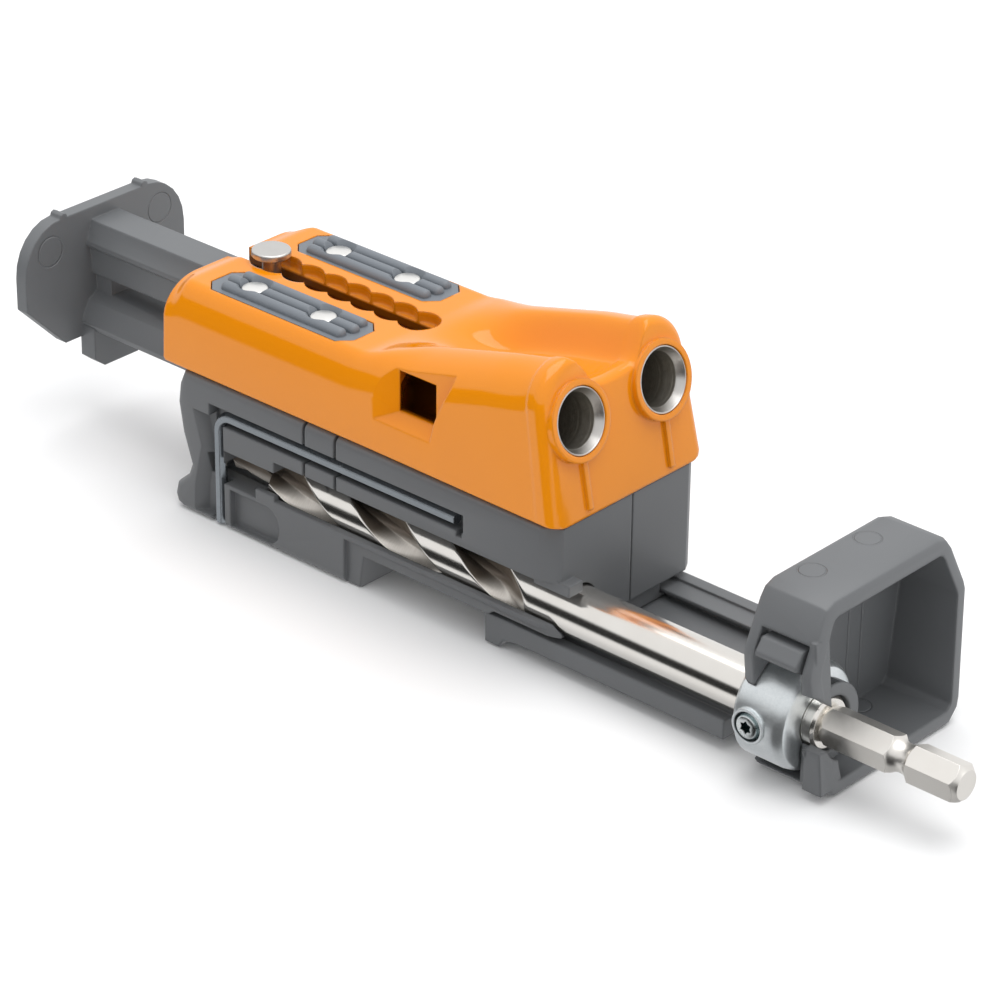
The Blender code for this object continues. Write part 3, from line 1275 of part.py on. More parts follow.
def yoke_post_outline():
    """The yoke's upper post seen from the side, its front face leaning."""
    low = DRILL_Z
    high = DRILL_Z + YOKE_POST_HIGH
    return ((YOKE_START, low), (housing_front(low) - YOKE_STEP, low),
            (housing_front(high) - YOKE_STEP, high), (YOKE_START, high))


def yoke_foot_ring(front):
    """The yoke's lower post cut across, at its back or at its leaning front."""
    low = DRILL_Z - YOKE_FOOT_DROP
    knee = DRILL_Z - YOKE_FOOT_KNEE
    outline = ((-YOKE_POST_HALF, low), (-YOKE_FOOT_REACH, low), (-YOKE_FOOT_INNER, knee),
               (-YOKE_FOOT_INNER, DRILL_Z), (-YOKE_POST_HALF, DRILL_Z))
    return [(housing_front(z) - YOKE_STEP if front else YOKE_START, y, z)
            for y, z in outline]


def latch_outline():
    """The latch with its sloped nose, as (y, z)."""
    low, high = (mix(LATCH_BOTTOM, LATCH_TOP, share) for share in LATCH_NOSE_SHARES)
    return ((-LATCH_INNER, LATCH_BOTTOM), (-LATCH_SHOULDER, LATCH_BOTTOM),
            (-LATCH_NOSE, low), (-LATCH_NOSE, high),
            (-LATCH_SHOULDER, LATCH_TOP), (-LATCH_INNER, LATCH_TOP))


def build_gauge_slide():
    """Trough, foot and collar housing as one moulding."""
    slide = loft("gauge_slide", housing_rings())
    inner = housing_outline(HOUSING_WALL)
    cavity_back = [(HOUSING_BACK + HOUSING_BACK_WALL, y, z) for y, z in inner]
    cavity_front = [(housing_front(z) + OVERRUN, y, z) for y, z in inner]
    cut(slide, loft("housing_cavity", (cavity_back, cavity_front)))
    join(slide, outline_prism("trough", trough_outline(), TROUGH_START,
                              HOUSING_BACK + HOUSING_BACK_WALL / 2, 'X'))
    join(slide, outline_prism("trough_foot", trough_foot_outline(), -TROUGH_HALF,
                              TROUGH_HALF, 'Y'))
    join(slide, rod_x("yoke_ring", COLLAR_END - OVERLAP, YOKE_RING_END, DRILL_Y, DRILL_Z,
                      YOKE_RADIUS, SIDES_LARGE))
    join(slide, outline_prism("yoke_post", yoke_post_outline(), -YOKE_POST_HALF,
                              -YOKE_POST_INNER, 'Y'))
    join(slide, loft("yoke_foot", (yoke_foot_ring(False), yoke_foot_ring(True))))
    outer = -HOUSING_WIDE_HALF - OVERRUN
    space = COLLAR_RADIUS + COLLAR_GAP
    cut(slide, rod_x("collar_space", HOUSING_BACK - OVERRUN, COLLAR_END + COLLAR_GAP,
                     DRILL_Y, DRILL_Z, space, SIDES_LARGE))
    cut(slide, box("collar_mouth", (HOUSING_BACK - OVERRUN, outer, DRILL_Z - space),
                   (COLLAR_END + COLLAR_GAP, DRILL_Y, DRILL_Z)))
    cut(slide, box("wall_mouth", (HOUSING_BACK + HOUSING_BACK_WALL, outer, DRILL_Z - space),
                   (YOKE_START, -LATCH_SHOULDER + HOUSING_WALL, DRILL_Z + OVERLAP)))
    cut(slide, box("cage_window", (CAGE_WINDOW_START, outer, DRILL_Z),
                   (CAGE_WINDOW_END, -HOUSING_WIDE_HALF / 2, CAGE_WINDOW_TOP)))
    cut(slide, rod_x("shank_way", HOUSING_BACK, HOUSING_FRONT_BOTTOM + OVERRUN, DRILL_Y,
                     DRILL_Z, DRILL_RADIUS + CRADLE_GAP, SIDES_LARGE))
    cut(slide, outline_prism("shank_mouth", mouth_outline(), COLLAR_END,
                             HOUSING_FRONT_BOTTOM + OVERRUN, 'X'))
    join(slide, outline_prism("latch", latch_outline(), LATCH_START, LATCH_END, 'X'))
    join(slide, box("latch_root", (LATCH_ROOT_START, -LATCH_ROOT, LATCH_BOTTOM + OVERLAP),
                    (LATCH_START + OVERLAP, -LATCH_INNER - OVERLAP, LATCH_TOP - OVERLAP)))
    return as_part(slide, PLASTIC)


def collar_profile():
    """The collar's (radius, distance) outline: chamfered behind, rounded in front."""
    bore = DRILL_RADIUS + BORE_GAP
    profile = []
    for i in range(CORNER_STEPS + 1):
        angle = math.pi / 2 * (1 - i / CORNER_STEPS)
        profile.append((COLLAR_RADIUS - COLLAR_ROUND_DEPTH * (1 - math.cos(angle)),
                        COLLAR_LENGTH - COLLAR_ROUND_RUN * (1 - math.sin(angle))))
    profile += [(COLLAR_RADIUS, COLLAR_CHAMFER), (COLLAR_RADIUS - COLLAR_CHAMFER, 0),
                (bore, 0), (bore, COLLAR_LENGTH)]
    return profile


def build_collar():
    """Zinc-plated collar with a boss round its grub screw."""
    collar = turned("stop_collar", collar_profile(), (COLLAR_START, DRILL_Y, DRILL_Z),
                    math.pi / 2)
    boss = DRILL_Y - COLLAR_RADIUS - GRUB_BOSS_PROUD
    middle = DRILL_Y - (DRILL_RADIUS + COLLAR_RADIUS) / 2
    join(collar, rod("grub_boss", (GRUB_X, boss, DRILL_Z), (GRUB_X, middle, DRILL_Z),
                     GRUB_BOSS_RADIUS, SIDES_SMALL))
    cut(collar, rod("grub_hole", (GRUB_X, boss - OVERRUN, DRILL_Z), (GRUB_X, DRILL_Y, DRILL_Z),
                    GRUB_RADIUS + TOUCH_GAP, SIDES_SMALL))
    return as_part(collar, ZINC)


def build_grub_screw():
    """The grub screw that clamps the collar, with a hex socket."""
    outer = -COLLAR_RADIUS - GRUB_PROUD
    shape = rod("grub_screw", (0, outer, 0), (0, -DRILL_RADIUS - GRUB_TIP_GAP, 0),
                GRUB_RADIUS, SIDES_SMALL)
    shape.location = (GRUB_X, DRILL_Y, DRILL_Z)
    cut(shape, rod("grub_socket", (GRUB_X, DRILL_Y + outer - OVERRUN, DRILL_Z),
                   (GRUB_X, DRILL_Y + outer + GRUB_SOCKET_DEPTH, DRILL_Z),
                   GRUB_SOCKET_FLAT / math.sqrt(3), HEX_SIDES))
    return as_part(shape, ZINC)


clear_scene()
PARTS = new_collection("pocket_hole_jig")
CUTTERS = new_collection("cutters")
DATUM = bpy.data.objects.new("jig_datum", None)
DATUM.location = datum_place()
PARTS.objects.link(DATUM)
bpy.context.view_layer.update()

PAINT = make_material("orange_paint", (0.84, 0.28, 0.018), 0.16, 0.0)
PLASTIC = make_material("grey_plastic", (0.13, 0.135, 0.14), 0.5, 0.0)
RUBBER = make_material("grey_rubber", (0.16, 0.175, 0.19), 0.6, 0.0)
STEEL = make_material("turned_steel", (0.62, 0.60, 0.57), 0.25, 1.0)
DARK_STEEL = make_material("dark_steel", (0.25, 0.25, 0.26), 0.4, 1.0)
BRIGHT_STEEL = make_material("bright_steel", (0.72, 0.69, 0.65), 0.2, 1.0)
NICKEL = make_material("nickel_plate", (0.85, 0.83, 0.79), 0.25, 1.0)
ZINC = make_material("zinc_plate", (0.55, 0.59, 0.62), 0.35, 1.0)

build_jig_body()
for side, word in SIDES:
    build_bush(side, word)
    build_pad(side, word)
    for place, (x, y) in zip(("rear", "front"), magnet_places(side)):
        build_magnet(side, word, place, x, y)
build_stop_slide()
build_lock_pin()
build_lock_clip()
build_lock_spring()
build_holder_near()
build_holder_far()
build_screw("rear", SCREW_REAR_X)
build_screw("front", SCREW_FRONT_X)
build_drill()
build_hex_key()
build_gauge_slide()
build_collar()
build_grub_screw()
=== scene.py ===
import json
import math

import bmesh
import bpy
import numpy as np
from mathutils import Matrix

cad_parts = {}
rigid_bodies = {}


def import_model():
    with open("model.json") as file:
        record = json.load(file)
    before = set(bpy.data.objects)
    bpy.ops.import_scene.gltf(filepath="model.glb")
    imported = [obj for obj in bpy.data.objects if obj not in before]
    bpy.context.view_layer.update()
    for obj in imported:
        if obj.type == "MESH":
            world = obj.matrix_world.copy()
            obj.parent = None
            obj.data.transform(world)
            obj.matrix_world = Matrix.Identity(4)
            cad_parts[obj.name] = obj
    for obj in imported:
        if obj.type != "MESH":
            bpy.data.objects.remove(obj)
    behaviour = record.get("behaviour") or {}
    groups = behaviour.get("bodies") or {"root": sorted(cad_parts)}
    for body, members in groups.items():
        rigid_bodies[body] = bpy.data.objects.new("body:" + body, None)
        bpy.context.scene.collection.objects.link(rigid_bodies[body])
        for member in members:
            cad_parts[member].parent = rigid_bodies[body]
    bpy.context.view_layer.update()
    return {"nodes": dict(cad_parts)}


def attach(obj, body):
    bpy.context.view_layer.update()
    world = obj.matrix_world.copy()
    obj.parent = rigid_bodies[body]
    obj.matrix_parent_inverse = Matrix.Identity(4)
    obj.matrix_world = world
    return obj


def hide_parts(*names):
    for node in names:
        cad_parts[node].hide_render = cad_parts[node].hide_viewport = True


for item in list(bpy.data.objects):
    bpy.data.objects.remove(item, do_unlink=True)
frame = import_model()

# Jig body: a die casting in glossy orange enamel. Its skin runs from the rear lip to
# two ridges on the drill's slant; the slot, seats, bores and windows are milled out.
# Lengths are in millimetres from the casting's rear underside, on its middle plane.
DATUM = np.array((-0.0692, 0.001075, 0.0290))   # that point in the frame, in metres
BARREL = math.radians(15)
SLANT = (math.cos(BARREL), 0.0, math.sin(BARREL))
LENGTH = 95.3
BUSH_Y = 10.75
MOUTH = (92.3, 17.0)
SWELL_START = 46.0
FOOT_HALF = (19.5, 19.9)
FOOT_EDGE = ((1.2, 0.0), (0.35, 0.35), (0.0, 1.2))
SHOULDER_HALF = (19.2, 18.7)
SHOULDER_Z = (8.8, 20.5)
LIP_RUN, LIP_TOP, LIP_FLAT = 4.0, 15.6, 10.8
TOP, TOP_FLAT, FLAT_RUN = 16.5, 15.3, 16.0
RIDGE_TOP, RIDGE_SETBACK = 28.0, 5.3
RIDGE_START, RIDGE_RUN = 40.0, 12.0
FACE_LEAN = 0.2
VALLEY_DEPTH, VALLEY_RUN = 6.2, 21.0
FLANK_SHARE, FLANK_START, FLANK_RUN = 0.58, 50.0, 22.0
FLANK_PART, WEB_PART = 0.9, 0.1
NOSE_RADIUS, NOSE_DROP = 2.2, 1.5
STEP_FRONT, STEP_RUN = 4.4, 0.8
WAIST_START, WAIST_RUN, WAIST_IN, WAIST_DOWN = 80.0, 11.0, 0.30, 0.35


def placed(points):
    """Millimetres from the jig's rear underside, as metres in the frame."""
    return np.asarray(points, dtype=float) / 1000 + DATUM


def ease(value):
    """3t^2 - 2t^3 on t held between 0 and 1."""
    t = np.clip(value, 0.0, 1.0)
    return t * t * (3 - 2 * t)


def blend(first, second, share):
    """first at share 0, second at share 1, in proportion between."""
    return first + (second - first) * share


def grid_mesh(name, grid, caps=True):
    """A mesh over a grid of points (rows, columns, 3), its columns closed in a ring.

    Row r and column c become vertex r * columns + c; each face joins two rows.
    """
    rows, columns = grid.shape[:2]
    r, c = np.meshgrid(np.arange(rows - 1), np.arange(columns), indexing="ij")
    after = (c + 1) % columns
    faces = np.stack((r * columns + c, r * columns + after,
                      (r + 1) * columns + after, (r + 1) * columns + c), axis=-1).reshape(-1, 4)
    mesh = bpy.data.meshes.new(name)
    faces = faces.tolist()
    if caps:
        faces.append(list(range(columns))[::-1])
        faces.append([(rows - 1) * columns + i for i in range(columns)])
    mesh.from_pydata(placed(grid.reshape(-1, 3)).tolist(), [], faces)
    return outward(mesh)


def outward(mesh):
    """The same mesh with doubles merged and every face pointing out."""
    shape = bmesh.new()
    shape.from_mesh(mesh)
    bmesh.ops.remove_doubles(shape, verts=shape.verts, dist=1e-6)
    bmesh.ops.recalc_face_normals(shape, faces=shape.faces)
    shape.to_mesh(mesh)
    shape.free()
    return mesh


def new_object(name, data):
    """A linked object with this mesh, lamp or camera."""
    item = bpy.data.objects.new(name, data)
    bpy.context.scene.collection.objects.link(item)
    return item


def prism(name, outline, start, end, along):
    """An outline carried along X, Y or Z between two stations, in millimetres."""
    flat = np.asarray(outline, dtype=float)
    rows = []
    for station in (start, end):
        fixed = np.full(len(flat), station)
        columns = {"X": (fixed, flat[:, 0], flat[:, 1]), "Y": (flat[:, 0], fixed, flat[:, 1]),
                   "Z": (flat[:, 0], flat[:, 1], fixed)}[along]
        rows.append(np.stack(columns, axis=-1))
    return new_object(name, grid_mesh(name, np.array(rows)))


def block(name, low, high):
    """A box between two corners, as a prism along X."""
    outline = ((low[1], low[2]), (high[1], low[2]), (high[1], high[2]), (low[1], high[2]))
    return prism(name, outline, low[0], high[0], "X")


def revolve(name, profile, place, axis, count):
    """A profile of (distance, radius) pairs carried round an axis from a place.

    Point = place + distance * axis + radius * (cos a * side + sin a * other).
    """
    axis = np.asarray(axis, dtype=float)
    axis = axis / np.linalg.norm(axis)
    side = np.cross(axis, (0.0, 1.0, 0.0) if abs(axis[1]) < 0.9 else (0.0, 0.0, 1.0))
    side = side / np.linalg.norm(side)
    other = np.cross(axis, side)
    angle = np.linspace(0, 2 * np.pi, count, endpoint=False)
    profile = np.asarray(profile, dtype=float)
    spoke = np.cos(angle)[:, None] * side + np.sin(angle)[:, None] * other
    grid = (np.asarray(place) + profile[:, 0, None, None] * axis
            + profile[:, 1, None, None] * spoke[None])
    closed = profile[0, 1] > 0 and np.allclose(profile[0], profile[-1])
    return new_object(name, grid_mesh(name, grid, caps=not closed))


def carve(item, cutters, operation="DIFFERENCE"):
    """The item with each cutter taken out or joined on, as a plain mesh."""
    for cutter in cutters:
        change = item.modifiers.new("carve", "BOOLEAN")
        change.operation = operation
        change.solver = "EXACT"
        change.object = cutter
    bpy.context.view_layer.update()
    graph = bpy.context.evaluated_depsgraph_get()
    mesh = bpy.data.meshes.new_from_object(item.evaluated_get(graph))
    item.modifiers.clear()
    item.data = mesh
    for cutter in cutters:
        bpy.data.objects.remove(cutter, do_unlink=True)
    return item


def dress(item, material, body, slot, *nodes):
    """Give a piece its finish and body, and let it stand for its CAD nodes."""
    item.data.materials.clear()
    item.data.materials.append(material)
    item.data.shade_smooth()
    item.data.set_sharp_from_angle(angle=math.radians(30))
    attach(item, body)
    if nodes:
        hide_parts(*nodes)
    return item


class Value:
    """A socket in a finish's node tree; arithmetic on it adds Math nodes."""

    def __init__(self, finish, socket):
        self.finish = finish
        self.socket = socket

    def math(self, operation, *others):
        values = (self,) + others
        return self.finish.node("Math", {"operation": operation}, dict(enumerate(values)))

    def __add__(self, other):
        return self.math("ADD", other)

    __radd__ = __add__

    def __sub__(self, other):
        return self.math("SUBTRACT", other)

    def __rsub__(self, other):
        return (self * -1) + other

    def __mul__(self, other):
        return self.math("MULTIPLY", other)

    __rmul__ = __mul__

    def between(self, low, high):
        """0 at low, 1 at high and smooth between; low may be the greater one."""
        settings = {"interpolation_type": "SMOOTHSTEP"}
        return self.finish.node("MapRange", settings, {0: self, 1: low, 2: high})

    def length(self, other):
        """The length of the vector with these two parts."""
        return (self * self + other * other).math("SQRT")


class Finish:
    """A material under construction, with one way to add any node."""

    def __init__(self, name, **constants):
        self.material = bpy.data.materials.new(name)
        self.material.use_nodes = True
        self.tree = self.material.node_tree
        self.shader = self.tree.nodes["Principled BSDF"]
        for key, value in constants.items():
            self.shader.inputs[key.replace("_", " ")].default_value = value
        self.where = self.node("TexCoord", {}, {}, "Object")

    def node(self, kind, settings, sockets, output=0):
        node = self.tree.nodes.new("ShaderNode" + kind)
        for key, value in settings.items():
            setattr(node, key, value)
        for key, value in sockets.items():
            self.feed(node.inputs[key], value)
        return Value(self, node.outputs[output])

    def feed(self, socket, value):
        if isinstance(value, Value):
            self.tree.links.new(value.socket, socket)
        else:
            socket.default_value = value

    def noise(self, size, detail=2.0, where=None, rough=0.5):
        """Soft noise whose lumps are about that many millimetres."""
        sockets = {"Vector": where or self.where, "Scale": 1000.0 / size, "Detail": detail,
                   "Roughness": rough}
        return self.node("TexNoise", {}, sockets, 0)

    def colours(self, share, first, second):
        """A colour that far between two, each three numbers or a value."""
        first, second = (c if isinstance(c, Value) else (*c, 1) for c in (first, second))
        return self.node("Mix", {"data_type": "RGBA"}, {0: share, 6: first, 7: second}, 2)

    def edges(self, radius):
        """The surface normal with edges rounded to that many millimetres."""
        return self.node("Bevel", {"samples": 6}, {"Radius": radius / 1000})

    def surface(self, **links):
        """Wire values into the shader by socket name."""
        for key, value in links.items():
            self.feed(self.shader.inputs[key.replace("_", " ")], value)
        return self.material

    def bump(self, height, depth, radius):
        """A bump of that many millimetres on the rounded normal."""
        return self.node("Bump", {}, {"Distance": depth / 1000, "Height": height,
                                      "Normal": self.edges(radius)})

    def axes(self):
        """The object's X, Y and Z in millimetres from the datum."""
        parts = self.node("SeparateXYZ", {}, {0: self.where}, 0)
        node = parts.socket.node
        return [(Value(self, node.outputs[i]) - float(DATUM[i])) * 1000.0 for i in range(3)]


def enamel():
    """Glossy orange enamel, with shade painted darker into its colour.

    That painted shade lies in the slot below its rim and on the casting inside the windows.
    """
    paint = Finish("orange_enamel", IOR=1.5)
    peel = paint.noise(2.2, 1.0)
    drift = paint.noise(14.0, 2.0)
    x, y, z = paint.axes()
    off = y.math("ABSOLUTE")
    slot = off.between(4.20, 4.00) * x.between(50.5, 49.5) * z.between(16.35, 15.2)
    window = off.between(16.8, 16.0) * x.between(46.0, 50.0) * x.between(67.5, 66.5)
    # painted shade: the slot below its rim and the casting inside the windows are darkened in the
    # colour
    painted_shade = slot * (0.22 + z.between(14.25, 13.8) * 0.62) + window * z.between(13.9, 13.5) * 0.85
    orange = paint.colours(drift, (0.800, 0.250, 0.003), (0.830, 0.268, 0.005))
    tone = paint.colours(painted_shade, orange, (0.055, 0.014, 0.0005))
    return paint.surface(Base_Color=tone, Roughness=0.06 + drift * 0.03 + slot * 0.25,
                         Normal=paint.bump(peel, 0.004, 0.6))


def jig_section(x):
    """Outlines of the casting at stations x, as arrays of y and z.

    Each half outline is the foot radius, a quarter ellipse from the widest
    point up to the ridge, a cosine flank down from it, and a nearly level web.
    """
    x = x[:, None]
    climb = np.clip((x - SWELL_START) / (LENGTH - SWELL_START), 0, 1)
    forward = ease(climb)
    lip = ease(x / LIP_RUN)
    bottom = blend(*FOOT_HALF, forward)
    shoulder = blend(*SHOULDER_HALF, forward)
    shoulder_z = blend(*SHOULDER_Z, climb)
    flat = blend(blend(LIP_FLAT, TOP_FLAT, lip), BUSH_Y, ease((x - SWELL_START) / FLAT_RUN))
    slope = math.tan(BARREL)
    rise = (RIDGE_TOP - (LENGTH - RIDGE_SETBACK - x) * slope) / (1 + FACE_LEAN * slope * forward)
    ridge = blend(TOP, np.maximum(rise, TOP), ease((x - RIDGE_START) / RIDGE_RUN))
    ridge = blend(LIP_TOP, ridge, lip)
    valley = VALLEY_DEPTH * ease((x - SWELL_START) / VALLEY_RUN)
    angle = np.linspace(0, np.pi / 2, 64)[None]
    share = np.linspace(0, 1, 64)[None, 1:]
    width = blend(1.0, FLANK_SHARE, ease((x - FLANK_START) / FLANK_RUN))
    flank = (1 - np.cos(np.pi * np.minimum(share / width, 1.0))) / 2
    y = [bottom - inward for inward, _ in FOOT_EDGE]
    y += [flat + (shoulder - flat) * np.cos(angle), flat * (1 - share)]
    z = [bottom * 0 + height for _, height in FOOT_EDGE]
    z += [shoulder_z + (ridge - shoulder_z) * np.sin(angle),
          ridge - valley * (FLANK_PART * flank + WEB_PART * ease(share))]
    return np.concatenate(y, axis=1), np.concatenate(z, axis=1)


def jig_skin():
    """The casting's skin: sections from rear to nose, sheared to the face's slope.

    A waist behind the nose, ended by a short step, leaves the lip that frames the
    face; the middle stays in its plane, because the waist fades out with y.
    """
    nose = np.linspace(0, np.pi / 2, 10)
    stations = ((0, 5, 12), (5, LENGTH - 5.4, 90), (LENGTH - 5.4, LENGTH - NOSE_RADIUS, 14))
    runs = [np.linspace(*station)[:-1] for station in stations]
    x = np.concatenate(runs + [LENGTH - NOSE_RADIUS * (1 - np.sin(nose))])
    inset = np.concatenate((np.zeros(len(x) - len(nose)), 1 - np.cos(nose)))[:, None]
    y, z = jig_section(x)
    step = np.where(x < LENGTH - 2.0, ease((x - LENGTH + STEP_FRONT) / STEP_RUN), 1.0)
    waist = (ease((x - WAIST_START) / WAIST_RUN) * (1 - step))[:, None] * ease((z - 8.0) / 14.0)
    y = y * (1 - inset * NOSE_RADIUS / FOOT_HALF[1]) - waist * WAIST_IN * ease(y / 6.0)
    z = z - inset * NOSE_DROP * ease(z / TOP) - waist * WAIST_DOWN
    lean = ease((x - SWELL_START) / (LENGTH - SWELL_START))[:, None]
    half = np.stack((x[:, None] - FACE_LEAN * z * lean, y, z), axis=-1)
    other = half[:, -2::-1] * (1, -1, 1)
    ring = np.concatenate((half, other), axis=1)
    return new_object("jig_casting", grid_mesh("jig_casting", ring))


def funnel(name, side, reach, floor, rim):
    """A tool between two outlines of (x, z), at the two distances from the middle."""
    grid = [[(x, side * y, z) for x, z in outline] for y, outline in zip(reach, (floor, rim))]
    return new_object(name, grid_mesh(name, np.array(grid)))


def mouth(side):
    """The middle of a bush's mouth; side is -1 near and 1 far."""
    return (MOUTH[0], side * BUSH_Y, MOUTH[1])


def bore_tool(name, side, start, end, radius):
    """A round tool along a bush's axis."""
    return revolve(name, ((start, radius), (end, radius)), mouth(side), SLANT, 72)


def pad_outline(side, grow):
    """The long octagon of a pad, grown by a gap."""
    low, high, inner, outer, corner = 7.2 - grow, 42.3 + grow, 6.5 - grow, 15.7 + grow, 2.3
    points = ((low + corner, inner), (high - corner, inner), (high, inner + corner),
              (high, outer - corner), (high - corner, outer), (low + corner, outer),
              (low, outer - corner), (low, inner + corner))
    return [(x, side * y) for x, y in points]


ABOVE, BELOW, REAR = 25.0, -6.0, -6.0    # where the tools end, clear of the casting
RING_BACK, RING_FRONT, RING_RADIUS = -4.0, 0.7, 7.2
RIB_HALF = 0.6
RIB = ((LENGTH - 4, 1.2), (LENGTH + 0.36, 1.2), (LENGTH - 2.8, 17.0), (LENGTH - 7.4, 17.0))
body = jig_skin()
added = []
for side in (-1, 1):
    added.append(bore_tool("ring", side, RING_BACK, RING_FRONT, RING_RADIUS))
    middle = side * BUSH_Y
    added.append(prism("rib", RIB, middle - RIB_HALF, middle + RIB_HALF, "Y"))
carve(body, added, "UNION")

PAD_SEAT_FLOOR, PAD_SEAT_GAP = 14.9, 0.3
MAGNETS = (15.2, 32.4)
MAGNET_Y = 10.8
MAGNET_SEAT = ((13.7, 2.7), (16.5, 2.7))
POCKET_FLOOR = ((56.6, 8.6), (65.3, 8.6), (66.8, 12.5), (69.5, 18.0), (71.0, 23.5), (55.5, 23.5))
POCKET_RIM = ((48.0, 4.7), (66.6, 4.7), (68.5, 12.5), (71.0, 18.0), (72.5, 23.5), (47.0, 23.5))
POCKET_REACH = (16.9, 22.0)
WINDOW_OUTER = ((57.0, 8.7), (65.3, 8.7), (65.3, 16.7), (57.0, 16.7))
WINDOW_INNER = ((52.0, 8.7), (65.3, 8.7), (65.3, 15.5), (52.0, 15.5))
WINDOW_REACH = (8.5, 17.4)
SEAT_BACK, SEAT_FRONT, SEAT_RADIUS = -24.8, 8.0, 6.08
WAY_BACK, WAY_FRONT, WAY_RADIUS = -95.0, -20.0, 4.9
CHANNEL = [(4.1, BELOW), (4.1, 1.2), (4.3, 6.1), (5.3, 7.0), (5.3, 8.5), (4.9, 8.9), (3.9, 12.4)]
CHANNEL_END = 48.2
PIN_X = 8.6
SCALLOPS = [PIN_X] + [10.9 + 5.77 * i for i in range(7)]
SCALLOP = ((14.3, 3.5), (14.42, 3.78), (14.8, 3.9), (ABOVE, 3.9))
SLOT_END, SLOT_HALF, SLOT_FLOOR = 45.52, 2.7, 12.1
LUG_POCKET = ((75.7, -12.0, BELOW), (88.3, 12.0, 2.9))
taken = []
for side in (-1, 1):
    taken.append(prism("pad_seat", pad_outline(side, PAD_SEAT_GAP), PAD_SEAT_FLOOR, ABOVE, "Z"))
    for x in MAGNETS:
        place = (x, side * MAGNET_Y, 0)
        taken.append(revolve("magnet_seat", MAGNET_SEAT, place, (0, 0, 1), 48))
    taken.append(funnel("pocket", side, POCKET_REACH, POCKET_FLOOR, POCKET_RIM))
    taken.append(funnel("window", side, WINDOW_REACH, WINDOW_INNER, WINDOW_OUTER))
    taken.append(bore_tool("bush_seat", side, SEAT_BACK, SEAT_FRONT, SEAT_RADIUS))
    taken.append(bore_tool("drill_way", side, WAY_BACK, WAY_FRONT, WAY_RADIUS))
outline = CHANNEL + [(-y, z) for y, z in reversed(CHANNEL)]
taken.append(prism("bar_channel", outline, REAR, CHANNEL_END, "X"))
for x in SCALLOPS:
    taken.append(revolve("scallop", SCALLOP, (x, 0, 0), (0, 0, 1), 72))
taken.append(block("pin_slot", (REAR, -SLOT_HALF, SLOT_FLOOR), (SLOT_END, SLOT_HALF, ABOVE)))
end = ((SLOT_FLOOR, SLOT_HALF), (ABOVE, SLOT_HALF))
taken.append(revolve("pin_slot_end", end, (SLOT_END, 0, 0), (0, 0, 1), 48))
taken.append(block("lug_pocket", *LUG_POCKET))
carve(body, taken)
dress(body, enamel(), "jig", "orange_paint", "jig_body")

# Guide bushes: hardened steel sleeves, turned and ground, pressed into the
# casting along the drill's slant, each with a countersunk mouth.
BORE_RADIUS = 4.9
BUSH_RADIUS = 6.0
BUSH_BACK = -24.5
TURNED = ((0.60, 0.585, 0.56), (0.68, 0.665, 0.64))
# colour of the shade painted into the bushes' bores
BORE_PAINTED_SHADE = (0.30, 0.275, 0.23)


def lathe_steel(name, rough, place, axis, pitch=0.25):
    """Turned steel: fine rings round an axis through a place.

    With v from the place, the radius is the length of v x axis and the distance
    along is v . axis, both in metres; the bore behind the mouth is painted darker, as painted
    shade.
    """
    steel = Finish(name, Metallic=1.0)
    centre = tuple(placed(place))
    offset = steel.node("VectorMath", {"operation": "SUBTRACT"}, {0: steel.where, 1: centre})
    cross = steel.node("VectorMath", {"operation": "CROSS_PRODUCT"}, {0: offset, 1: axis})
    radius = steel.node("VectorMath", {"operation": "LENGTH"}, {0: cross}, "Value")
    along = steel.node("VectorMath", {"operation": "DOT_PRODUCT"}, {0: offset, 1: axis}, "Value")
    rings = steel.node("CombineXYZ", {}, {0: radius, 1: along})
    line = steel.noise(pitch, 2.0, rings)
    cloud = steel.noise(6.0, 2.0)
    shade_breakup = steel.noise(1.1, 3.0) * line
    # painted shade: the bore behind the mouth is darkened in the colour, broken up by noise
    bore = radius.between(0.00494, 0.00491) * along.between(-0.0002, -0.0012)
    tone = steel.colours(bore * (0.93 - shade_breakup * 0.5), steel.colours(cloud, *TURNED), BORE_PAINTED_SHADE)
    return steel.surface(Base_Color=tone, Roughness=rough + line * 0.18 + bore * 0.12,
                         Normal=steel.bump(line * (1.0 + bore * 7.0), 0.006, 0.2))


def rolled(distance, radius, size):
    """A quarter round of a profile, from its widest point to its face."""
    arc = np.linspace(0, np.pi / 2, 6)
    return [(distance + size * math.sin(a), radius + size * math.cos(a)) for a in arc]


for side, word in ((-1, "near"), (1, "far")):
    profile = [(BUSH_BACK, BORE_RADIUS), (BUSH_BACK, BUSH_RADIUS), (0.35, BUSH_RADIUS)]
    profile += rolled(0.35, BUSH_RADIUS - 0.2, 0.2)
    profile += [(0.55, 5.7), (-0.9, 4.98), (-1.05, BORE_RADIUS), (BUSH_BACK, BORE_RADIUS)]
    bush = revolve("bush_sleeve_" + word, profile, mouth(side), SLANT, 128)
    steel = lathe_steel("bush_steel_" + word, 0.22, mouth(side), SLANT)
    dress(bush, steel, "jig", "turned_steel", "drill_bush_" + word)

# Grip pads: two octagons of grey rubber glued into their seats, each with
# three half-round ribs that stop short of the magnets.


def from_node(name, node):
    """A merged copy of a CAD node's mesh, its flat faces made whole again."""
    shape = bmesh.new()
    shape.from_mesh(frame["nodes"][node].data)
    bmesh.ops.remove_doubles(shape, verts=shape.verts, dist=1e-6)
    bmesh.ops.dissolve_limit(shape, angle_limit=math.radians(0.2), verts=shape.verts,
                             edges=shape.edges, use_dissolve_boundaries=False)
    points = [tuple(vert.co) for vert in shape.verts]
    faces = [[vert.index for vert in face.verts] for face in shape.faces]
    shape.free()
    mesh = bpy.data.meshes.new(name)
    mesh.from_pydata(points, [], faces)
    return new_object(name, mesh)


